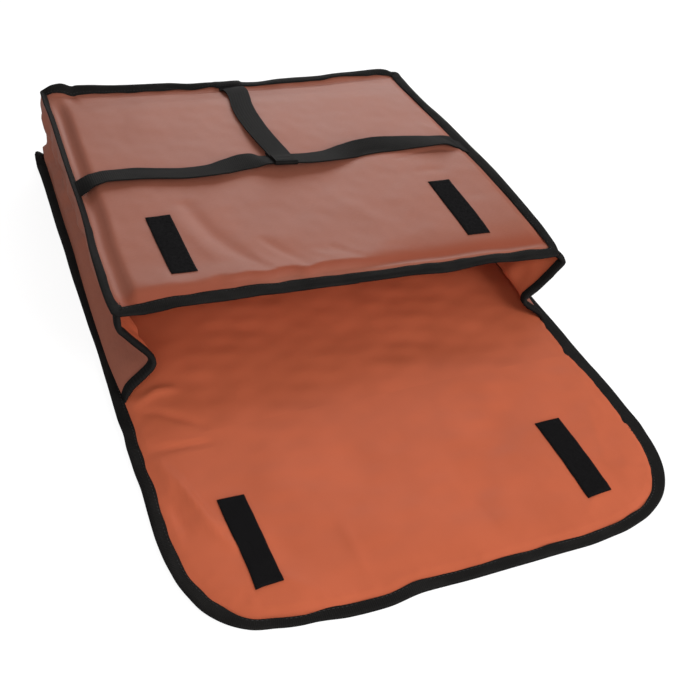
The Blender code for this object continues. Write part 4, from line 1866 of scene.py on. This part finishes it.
    def cloths(self, stretch: Stretch, wardrobe: Wardrobe) -> list[Piece]:
        """Builds and dresses a stretch's padded lining and its cover.

        Args:
            stretch: The stretch.
            wardrobe: Gives the materials.

        Returns:
            The two pieces.
        """
        flat = (self.width, stretch.end - stretch.start)
        lining = Cloth(flat, self.cell).pad(
            f"{stretch.name}_padded_lining",
            lambda s, t: self.surface(stretch, Layer.LINING, s, t),
            lambda s, t: self.surface(stretch, Layer.BACK, s, t),
        )
        wardrobe.dress(lining, Finish.LINING)
        nodes = [f"{part}_{layer}" for part in stretch.parts for layer in ("lining", "foam")]
        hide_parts(*nodes)
        cover = Cloth(flat, self.cover_cell).sheet(
            f"{stretch.name}_cover",
            lambda s, t: self.surface(stretch, Layer.COVER, s, t),
            COVER_CLOTH,
            lambda place: Vector((0, 0, -1)),
        )
        wardrobe.dress(cover, Finish.COVER)
        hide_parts(*[f"{part}_outer_cover" for part in stretch.parts])
        cut_corners = (2 - math.pi / 2) * self.front_radius**2
        area = flat[0] * flat[1] - cut_corners if stretch.name == "flap" else None
        return [lining, cover]

    def lay(self, x: Array, y: Array, h: Array) -> Array:
        """Puts places of the plan and heights in the bag.

        Args:
            x: Places across.
            y: Places along.
            h: Heights above the floor.

        Returns:
            The places in the bag.
        """
        at_rear, at_left = self.corner_spans
        curl = near_edge(y, self.rear, at_rear) * smooth_share(-x, *at_left)
        x, y = self.drifted(x, y)
        return np.stack(np.broadcast_arrays(x, y, h + self.corner_curl * curl), axis=-1)

    def on_lining(self, x: Array, y: Array, h: Array) -> Array:
        """Puts places of the plan and heights above the lining in the bag."""
        return self.lay(x, y, self.top_height(x, y) + h)

    def tape_paths(self, name: str) -> list[Edge]:
        """The bound edges of one stretch.

        Args:
            name: The stretch's name.

        Returns:
            For each edge its side, its path and the nodes that its tape stands for.
        """
        plan = self.plan()
        paths = side_paths(plan, BindingTape.width)
        rear_end = paths["right"][1][1]
        if name == "flap":
            arc = [*plan.corner_arc(False, False), *plan.corner_arc(True, False)]
            path = [(plan.left, self.split), *arc, (plan.right, self.split)]
            nodes = ["flap_wall_left_binding", "flap_wall_right_binding", "flap_tip_binding"]
            return [("edge", path, nodes)]
        return [
            ("left", [(plan.left, rear_end), (plan.left, self.split)], ["base_left_binding"]),
            ("right", [(plan.right, self.split), (plan.right, rear_end)], ["base_right_binding"]),
            ("rear", paths["rear"], ["base_rear_binding"]),
        ]


# ---- gussets and back wall


@dataclass
class Gusset:
    """A side gusset: cover cloth and lining folded in together, with tape on the mouth edge.
    Fold tables give how far in the cloth lies, in mm, by share of the height."""

    side: Side
    lid: Lid
    width: float = 0.466
    flat: Span = (0.410, 0.094)
    tape_width: float = 0.0095
    fade_power: float = 1.4
    bottom: float = 0.0056
    mouth_bottom_y: float = -0.078
    pull_back: float = 0.0085
    inner_y: float = 0.3425
    base_middle: float = -0.0055
    cell: float = 0.0040
    behind_front: float = 0.0025
    good_side: float = 0.0015
    lining_end: float = 0.985
    deepest_fold: float = 33.0
    foot_limits: Span = (12.2, 9.4)
    crumple_height: float = 0.09
    crumple_limit: float = 0.0030
    crumple_spans: tuple[Span, Span] = ((0.0, 0.10), (0.93, 1.0))
    tape: BindingTape = BindingTape(width=0.0100, height=0.0052)
    tape_flat: Span = (0.10, 0.024)
    tape_cells: int = 44
    tape_heights: Span = (-0.045, 1.010)
    tape_front: float = 0.0016
    tape_foot: float = 0.45
    tape_foot_end: float = 0.12
    low_inset: Profile = Profile(
        ((0, 10.2), (0.05, 8.9), (0.14, 7.4), (0.27, 7.6), (0.36, 8.1), (0.46, 9.2),
         (0.565, 10.4), (0.675, 10.6), (0.8, 11.4), (0.9, 12.1), (1, 12.2))
    )
    left_fold: Profile = Profile(
        ((-0.06, 0.7), (0, 1.6), (0.034, 3.3), (0.08, 6.3), (0.12, 11.1), (0.16, 17.4),
         (0.2, 23.3), (0.242, 28.2), (0.288, 30.2), (0.33, 29.9), (0.422, 25.8), (0.516, 19.8),
         (0.626, 12.6), (0.748, 5.1), (0.81, 1.2), (0.86, 0.4), (1, 0.2))
    )
    right_fold: Profile = Profile(
        ((-0.06, 0.7), (0, 1.6), (0.04, 3.5), (0.08, 6.5), (0.12, 11), (0.16, 16),
         (0.2, 20.5), (0.25, 24), (0.3, 24.5), (0.36, 21), (0.464, 13.1), (0.628, 3.1),
         (0.728, -3.4), (0.8, -9.2), (0.84, -12.2), (0.865, -12.8), (0.9, -10.5), (0.95, -6),
         (1, -2))
    )
    rear_fold: Profile = Profile(
        ((0, 0), (0.12, -0.5), (0.165, -0.4), (0.2, 4), (0.25, 5.3), (0.43, 4.9), (0.55, 2.1),
         (0.71, 0), (0.82, -1.1), (0.95, 0.3), (1, 0))
    )

    def sheet_places(self, depth: Array, height: Array, shift: float) -> Array:
        """Places of the folded sheet.

        Args:
            depth: Shares from the mouth to the back wall.
            height: Shares from the base to the lid.
            shift: Distance outwards from the sheet's middle.

        Returns:
            The places in the bag.
        """
        lid, left = self.lid, self.side is Side.LEFT
        from_edge = self.tape_width / 2
        edge = self.side * (self.width / 2 - from_edge)
        mouth_w = -lid.reach + self.behind_front
        top_w = mouth_w + (self.inner_y - lid.hinge_y - mouth_w) * depth
        top = lid.place(edge, top_w, lid.side_rise(self.side, top_w, from_edge))
        low_y = self.mouth_bottom_y + (self.inner_y - self.mouth_bottom_y) * depth
        mouth_fold = (self.left_fold if left else self.right_fold)(height)
        fade = (1.0 - depth) ** self.fade_power
        inset = MM * mixed(self.rear_fold(height), mouth_fold, fade)
        pull = self.pull_back * np.clip(mouth_fold / self.deepest_fold, 0.0, 1.0)
        y = mixed(low_y, top[..., 1], height) + pull * (1.0 - depth) ** 6
        foot = np.minimum(self.low_inset(depth), self.foot_limits[0 if left else 1])
        low_x = self.base_middle + self.side * (self.width / 2 - MM * foot)
        x, z = mixed(low_x, top[..., 0], height), mixed(self.bottom, top[..., 2], height)
        waves = Ripples(0.0027, 0.055, 91 + self.side), Ripples(0.0009, 0.022, 93 + self.side)
        crumple = total_of(waves, y, height * self.crumple_height)
        crumple *= np.clip(4.0 * height * (1.0 - height), 0.0, 1.0)
        begin, end = (smooth_share(depth, *span) for span in self.crumple_spans)
        crumple = np.minimum(crumple * begin * (1.0 - 0.7 * end), self.crumple_limit)
        return np.stack([x - self.side * (inset - shift - crumple), y, z], axis=-1)

    def build(self, wardrobe: Wardrobe) -> None:
        """Builds and dresses the gusset.

        Args:
            wardrobe: Gives the materials.
        """
        pieces = []
        for part, node, finish, slot, way, reach in (
            ("cover", "outer_cover", Finish.COVER, "outer_fabric", 1.0, 1.0),
            ("lining", "lining", Finish.LINING, "lining_fabric", -1.0, self.lining_end),
        ):
            piece = Cloth(self.flat, self.cell).sheet(
                f"{self.side.word}_gusset_{part}_cloth",
                lambda s, t: self.sheet_places(s * reach, t, way * self.good_side),
                THIN_CLOTH,
                lambda place: Vector((self.side * way, 0.0, 0.0)),
            )
            wardrobe.dress(piece, finish)
            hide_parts(f"{self.side.word}_gusset_{node}")
            pieces.append(piece)
        tape = self.mouth_tape()
        wardrobe.dress(tape, Finish.TAPE)
        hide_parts(f"{self.side.word}_mouth_binding")
        pieces.append(tape)
        for piece in pieces:
            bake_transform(piece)

    def mouth_tape(self) -> Piece:
        """The tape round the mouth edge, which follows the fold.

        Returns:
            The tape.
        """
        section = np.array(self.tape.section())
        bm = unit_grid(self.tape_cells, len(section) - 1, self.tape_flat)
        turn_uv(bm)
        verts = list(bm.verts)
        s, t = shares(verts)
        low, high = self.tape_heights
        height = low + (high - low) * s
        far, up = section[np.rint(t * (len(section) - 1)).astype(int)].T
        swell = mixed(self.tape_foot, 1.0, smooth_share(s, 0.0, self.tape_foot_end))
        off = (up - self.tape.height / 2) * swell
        front, rear = (self.sheet_places(end, height, 0.0) for end in (0.0 * s, 1.0 + 0.0 * s))
        length = np.linalg.norm(rear - front, axis=1)
        depth = (-self.tape_front - far) / length
        step = 0.004
        above, below = (self.sheet_places(0.0 * s, height + way, 0.0) for way in (step, -step))
        along = above - below
        along /= np.linalg.norm(along, axis=1)[:, None]
        across = np.stack([along[:, 2], np.zeros_like(height), -along[:, 0]], axis=1)
        across /= np.linalg.norm(across, axis=1)[:, None]
        places = self.sheet_places(np.maximum(depth, 0.0), height, 0.0)
        places[:, 1] += np.minimum(depth, 0.0) * length
        move_to(verts, places + across * off[:, None])
        face_out(bm, t, lambda index: Vector((0.0, -1.0, 0.0)))
        return add_sheet(f"{self.side.word}_mouth_tape", bm, self.tape.thickness)


@dataclass
class BackWall:
    """The padded back wall between the base's rear tape and the lid's rear seam. Its layers
    are given as their distance behind the inner side, their swelling and their share of the
    waves."""

    lid: Lid
    fold: Profile
    width: float = 0.466
    height: float = 0.076
    base_middle: float = -0.0055
    margin: float = 0.0080
    bottom: float = 0.0046
    inner_y: float = 0.3363
    cell: float = 0.0045
    cover_overhang: float = 0.0030
    top_height: float = 0.0026
    swell_span: Span = (0.004, 0.020)
    side_span: Span = (0.38, 0.5)
    feet: Span = (-0.0070, 0.0041)
    waves: tuple[Ripples, ...] = (Ripples(0.0007, 0.060, 101), Ripples(0.0004, 0.024, 102))
    layers: tuple[tuple[Layer, Triple], ...] = (
        (Layer.LINING, (0.0024, -0.0026, -1.0)),
        (Layer.BACK, (0.0042, 0.0016, 0.0)),
        (Layer.COVER, (0.0056, 0.0020, 1.0)),
    )

    def places(self, s: Array, t: Array, layer: Layer) -> Array:
        """Places of one of the wall's surfaces.

        Args:
            s: Shares across.
            t: Shares up.
            layer: The surface.

        Returns:
            The places in the bag.
        """
        margin = self.margin - (self.cover_overhang if layer is Layer.COVER else 0.0)
        u = (s - 0.5) * (self.width - 2 * margin)
        top = self.lid.place(u, 0.0, self.top_height)
        edge = np.minimum(np.minimum(s, 1 - s) * self.width, np.minimum(t, 1 - t) * self.height)
        swell = smooth_share(edge, *self.swell_span)
        z = mixed(self.bottom, top[..., 2], t)
        behind, puff, waving = dict(self.layers)[layer]
        y = self.inner_y + behind + swell * (puff + waving * total_of(self.waves, u, z))
        near_side = smooth_share(np.abs(s - 0.5), *self.side_span)
        low = self.base_middle + u - np.where(s < 0.5, *self.feet) * near_side
        folded = MM * self.fold(t) * near_side * np.sign(s - 0.5)
        return np.stack([mixed(low, top[..., 0], t) - folded, y, z], axis=-1)

    def build(self, wardrobe: Wardrobe) -> None:
        """Builds and dresses the back wall.

        Args:
            wardrobe: Gives the materials.
        """
        flat = (self.width, self.height)
        lining = Cloth(flat, self.cell).pad(
            "back_padded_lining",
            lambda s, t: self.places(s, t, Layer.LINING),
            lambda s, t: self.places(s, t, Layer.BACK),
        )
        wardrobe.dress(lining, Finish.LINING)
        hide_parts("back_lining", "back_foam")
        cover = Cloth(flat, self.cell).sheet(
            "back_cover",
            lambda s, t: self.places(s, t, Layer.COVER),
            COVER_CLOTH,
            lambda place: Vector((0, 1, 0)),
        )
        wardrobe.dress(cover, Finish.COVER)
        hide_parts("back_outer_cover")
        for piece in (lining, cover):
            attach(piece, "base")


# ---- handle


@dataclass
class Handle:
    """Webbing straps sewn into the lid's bindings, and the folded end that joins them.
    Route tables are in mm: place across, place along, height over the tape's underside and
    roll in degrees."""

    lid: Lid
    width: float = 0.0250
    thickness: float = 0.0016
    lanes: int = 8
    spacing: float = 0.0030
    slack: float = 1.03
    edge_curl: float = 0.0004
    waves: Ripples = Ripples(0.00035, 0.05, 111)
    gap: float = 0.0003
    rests_from: float = 0.0120
    end_middle: Triple = (-0.0052, 0.1475, 0.0188)
    end_turn: float = math.radians(-3.0)
    end_tip: float = math.radians(12.0)
    end_half: float = 0.0130
    end_above: float = 0.0022
    end_below: float = 0.0019
    end_spacing: float = 0.0015
    tacks: tuple[float, ...] = (0.0010, -0.0015, -0.0095)
    tack_half: float = 0.0115
    tack_height: float = 0.0031
    tack_points: int = 20
    cross_route: tuple[Row, ...] = (
        (-224, 146, 4.6, 0), (-219, 144, 6.4, 0), (-213, 143, 11, -2), (-205, 144.5, 14.6, -7),
        (-190, 149, 14.5, -10), (-165, 150, 14, -10), (-140, 146, 14, -12), (-112, 142, 14.8, -11),
        (-88, 141.5, 15.4, -10), (-68, 145, 16.4, -1), (-48, 149.3, 17.7, 5), (-37, 149.8, 18, 2),
        (-24, 148, 17.9, -15), (-6, 147, 18.7, -14), (20, 144.5, 18.3, -11), (45, 147.5, 17, -9),
        (70, 154.5, 15.8, 3), (95, 160.5, 15.3, 13), (120, 164, 15, 11), (150, 164.5, 14.5, 3),
        (175, 162, 14.8, -4), (198, 159.5, 14.6, -11), (212, 157, 11.5, -5), (226, 153, 6.6, 0),
        (234, 152, 4.8, 0),
    )
    rear_route: tuple[Row, ...] = (
        (-6, 335, 4.2, 4), (-6, 331, 4.4, 4), (-6, 326, 5.8, 5), (-5.8, 318, 11.2, 7),
        (-5.8, 304, 13.6, 8), (-7.8, 286, 14.2, 6), (-10.8, 268, 14.6, 5), (-11.8, 245, 15, 4),
        (-11.4, 222, 15.4, 2), (-9.8, 200, 16, 0), (-7.3, 180, 16.6, -1), (-5.6, 165, 17.6, -1),
        (-5.2, 154, 19, -2), (-5, 141, 20.9, -3),
    )

    def strap(self, name: str, route: Line, along_axis: int) -> Piece:
        """One strap along its route.

        Args:
            name: The piece's name.
            route: The route's table.
            along_axis: 0 where the strap runs across the lid, 1 where it runs along it.

        Returns:
            The strap.
        """
        table = np.array(route, float)
        key = table[:, along_axis]
        order = np.argsort(key)
        columns = [Profile(tuple(zip(key[order], table[order, i]))) for i in range(4)]
        start, end = key[order][0], key[order][-1]
        count = round((end - start) * MM * self.slack / self.spacing)
        bm = unit_grid(self.lanes, count, (self.width, (end - start) * MM))
        verts = list(bm.verts)
        s, t = shares(verts)
        at = start + (end - start) * t
        x, y, h, roll = (column(at) for column in columns)
        across, turn = (s - 0.5) * self.width, np.radians(roll)
        sideways = across * np.cos(turn)
        curl = self.edge_curl * (2 * np.abs(s - 0.5)) ** 3
        h = h * MM + across * np.sin(turn) - curl + self.waves(at * MM, across * 0.0)
        x, y = (x * MM, y * MM + sideways) if along_axis == 0 else (x * MM + sideways, y * MM)
        u, w = x - self.lid.lean, (y - self.lid.hinge_y) / math.cos(self.lid.tilt)
        cloth = self.lid.top_height(u, w) + self.thickness / 2 + self.gap
        inside = self.lid.plan().edge_distance(u, w)
        h = np.where(inside > self.rests_from, np.maximum(h, cloth), h)
        move_to(verts, self.lid.place(u, w, h))
        face_towards(bm, lambda place: Vector((0, 0, 1)))
        return add_sheet(name, bm, self.thickness, 0.0)

    def build(self, wardrobe: Wardrobe) -> None:
        """Builds and dresses the handle.

        Args:
            wardrobe: Gives the materials.
        """
        join = next(i for i, row in enumerate(self.cross_route) if row[0] >= -10)
        left = self.strap("cross_strap_left_half", self.cross_route[: join + 1], 0)
        right = self.strap("cross_strap_right_half", self.cross_route[join:], 0)
        rear = self.strap("rear_strap_webbing", self.rear_route, 1)
        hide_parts("cross_strap")
        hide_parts("rear_strap")
        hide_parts("cross_strap")
        for piece in (left, right, rear):
            wardrobe.dress(piece, Finish.WEBBING)
        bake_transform(left)
        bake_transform(right)
        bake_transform(rear)
        wrap = self.wrap()
        wardrobe.dress(wrap, Finish.WEBBING)
        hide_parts("handle_sleeve")
        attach(wrap, "handle")
        tack = self.bar_tacks()
        wardrobe.dress(tack, Finish.BAR_THREAD)
        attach(tack, "handle")

    def wrap_place(self, along: Array, across: Array, up: Array) -> Array:
        """Puts places of the folded end in the bag.

        Args:
            along: Distances from its middle along the rear strap.
            across: Distances across the rear strap.
            up: Distances off the lid.

        Returns:
            The places in the bag.
        """
        lid, turn, tip = self.lid, self.end_turn, self.end_tip
        x, y, h = self.end_middle
        u = x - lid.lean + across * math.cos(turn) - up * math.sin(turn)
        w = (y - lid.hinge_y) / math.cos(lid.tilt) + along * math.cos(tip) + up * math.sin(tip)
        rise = up * math.cos(tip) - along * math.sin(tip)
        return lid.place(u, w, h + across * math.sin(turn) + rise * math.cos(turn))

    def wrap(self) -> Piece:
        """The rear strap's end, folded round the cross strap's front edge and back on itself.

        Returns:
            The folded end.
        """
        half, above, below = self.end_half, self.end_above, self.end_below
        middle, radius = (above - below) / 2, (above + below) / 2
        angles = [math.radians(degrees) for degrees in range(15, 180, 15)]
        route, at = spaced(
            [
                (0.0035, above + 0.0003), (-half * 0.4, above), (-half * 0.9, above),
                *[(-half - radius * math.sin(a), middle + radius * math.cos(a)) for a in angles],
                (-half * 0.8, -below), (half * 0.9, -below), (half + 0.006, -below + 0.0006),
            ],
            self.end_spacing,
        )
        bm = unit_grid(self.lanes, len(route) - 1, (self.width, at[-1]))
        verts = list(bm.verts)
        s, t = shares(verts)
        along, up = route[np.rint(t * (len(route) - 1)).astype(int)].T
        move_to(verts, self.wrap_place(along, (s - 0.5) * self.width, up))
        bm.normal_update()
        return add_sheet("rear_strap_end", bm, self.thickness * 0.9, 0.0)

    def bar_tacks(self) -> Piece:
        """Close rows of stitches across the folded end.

        Returns:
            The stitches as one piece.
        """
        seam = Seam(pitch=0.0016, length=0.0015, radius=0.00030)
        across = np.linspace(-self.tack_half, self.tack_half, self.tack_points)
        for along in self.tacks:
            points = self.wrap_place(along + 0.0 * across, across, self.tack_height + 0.0 * across)
            seam.run(points, np.tile((0.0, 0.0, 1.0), (self.tack_points, 1)))
        return seam.build("rear_strap_bar_tacks")


# ---- studio


@dataclass
class Studio:
    """Camera, pale floor and soft lights."""

    position: Triple = (-0.33635, -0.65365, 0.5958)
    right: Triple = (0.91238, -0.38930, 0.12652)
    down: Triple = (-0.17433, -0.64919, -0.74038)
    forward: Triple = (0.37037, 0.65345, -0.66017)
    lens: float = 46.82
    sensor: float = 36.0
    clip: Span = (0.01, 50.0)
    floor_half: float = 1.7
    floor_z: float = -0.0004
    floor_colour: Triple = (0.45, 0.45, 0.45)
    seen_colour: Triple = (0.24, 0.24, 0.24)
    floor_glow: float = 0.86
    ambient: float = 0.29
    target: Triple = (0.0, 0.0, 0.05)
    lamps: tuple[tuple[str, Triple, float, float], ...] = (
        ("key", (0.90, 2.0, 1.25), 1.6, 41.0),
        ("back_fill", (-1.1, 1.9, 1.3), 1.5, 3.5),
        ("front_right", (1.35, -1.7, 0.95), 1.5, 42.0),
        ("front_left", (-0.95, -1.35, 0.8), 1.2, 14.0),
    )

    def camera(self) -> None:
        """Puts the camera at the photograph's viewing angle."""
        data = bpy.data.cameras.new("camera")
        data.lens = self.lens
        data.sensor_width = self.sensor
        data.clip_start, data.clip_end = self.clip
        camera = bpy.data.objects.new("camera", data)
        x, y, z = Vector(self.right), -Vector(self.down), -Vector(self.forward)
        turn = Matrix((x, y, z)).transposed().to_4x4()
        camera.matrix_world = Matrix.Translation(self.position) @ turn
        bpy.context.scene.collection.objects.link(camera)
        bpy.context.scene.camera = camera

    def lamp(self, name: str, place: Triple, size: float, power: float) -> None:
        """Adds one soft lamp that points at the bag.

        Args:
            name: Its name.
            place: Where it hangs.
            size: Width of its square face.
            power: Watts.
        """
        data = bpy.data.lights.new(name, "AREA")
        data.shape, data.size, data.energy = "SQUARE", size, power
        lamp = bpy.data.objects.new(name, data)
        lamp.location = place
        way = Vector(self.target) - Vector(place)
        lamp.rotation_euler = way.to_track_quat("-Z", "Y").to_euler()
        bpy.context.scene.collection.objects.link(lamp)

    def floor(self) -> None:
        """The pale floor, which glows where the camera sees it and not where it lights the bag."""
        bm = bmesh.new()
        bmesh.ops.create_grid(bm, x_segments=1, y_segments=1, size=self.floor_half)
        bmesh.ops.translate(bm, vec=(0.0, 0.0, self.floor_z), verts=bm.verts)
        floor = add_object("studio_floor", bm)
        tree = ShaderTree(bpy.data.materials.new("studio_floor"))
        plain = Sock(tree, tree.nodes["Principled BSDF"].outputs[0])
        tree.done(Base_Color=self.floor_colour, Roughness=1.0, Specular_IOR_Level=0.0)
        seen = tree.node("LightPath", None, None, "Is Camera Ray")
        white = {"Color": (1.0, 1.0, 1.0), "Strength": self.floor_glow}
        glow = tree.node("Emission", None, white)
        pale = tree.node("BsdfDiffuse", None, {"Color": self.seen_colour})
        both = tree.node("AddShader", None, {0: pale, 1: glow})
        either = tree.node("MixShader", None, {0: seen, 1: plain, 2: both})
        tree.connect(tree.nodes["Material Output"].inputs["Surface"], either)
        floor.data.materials.append(tree.owner)
        floor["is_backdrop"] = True

    def world(self) -> None:
        """Even light from all round, and a white background."""
        world = bpy.data.worlds.new("studio")
        bpy.context.scene.world = world
        tree = ShaderTree(world)
        background = tree.nodes["Background"].inputs
        seen = tree.node("LightPath", None, None, "Is Camera Ray")
        strength = tree.node("MapRange", None, {0: seen, 3: self.ambient, 4: 1.0})
        tree.connect(background["Color"], (1.0, 1.0, 1.0))
        tree.connect(background["Strength"], strength)

    def build(self) -> None:
        """Builds the studio."""
        self.camera()
        self.floor()
        self.world()
        for lamp in self.lamps:
            self.lamp(*lamp)
        bpy.context.scene.view_settings.view_transform = "Standard"


def corners(box: tuple[Vector, Vector]) -> list[list[float]]:
    """A box's two corners as plain lists."""
    return [[float(value) for value in corner] for corner in box]


def main() -> None:
    """Builds the bag and its studio in order."""
    logging.basicConfig(level=logging.INFO, format="%(name)s: %(message)s")
    wardrobe = Wardrobe()
    Studio().build()
    lid = Lid()
    lid.build(wardrobe)
    Ground().build(wardrobe)
    gussets = [Gusset(side, lid) for side in Side]
    for gusset in gussets:
        gusset.build(wardrobe)
    BackWall(lid, gussets[0].rear_fold).build(wardrobe)
    Handle(lid).build(wardrobe)
    {"cad": corners(CAD_BOX), "visual": corners(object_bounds())}


if __name__ == "__main__":
    main()
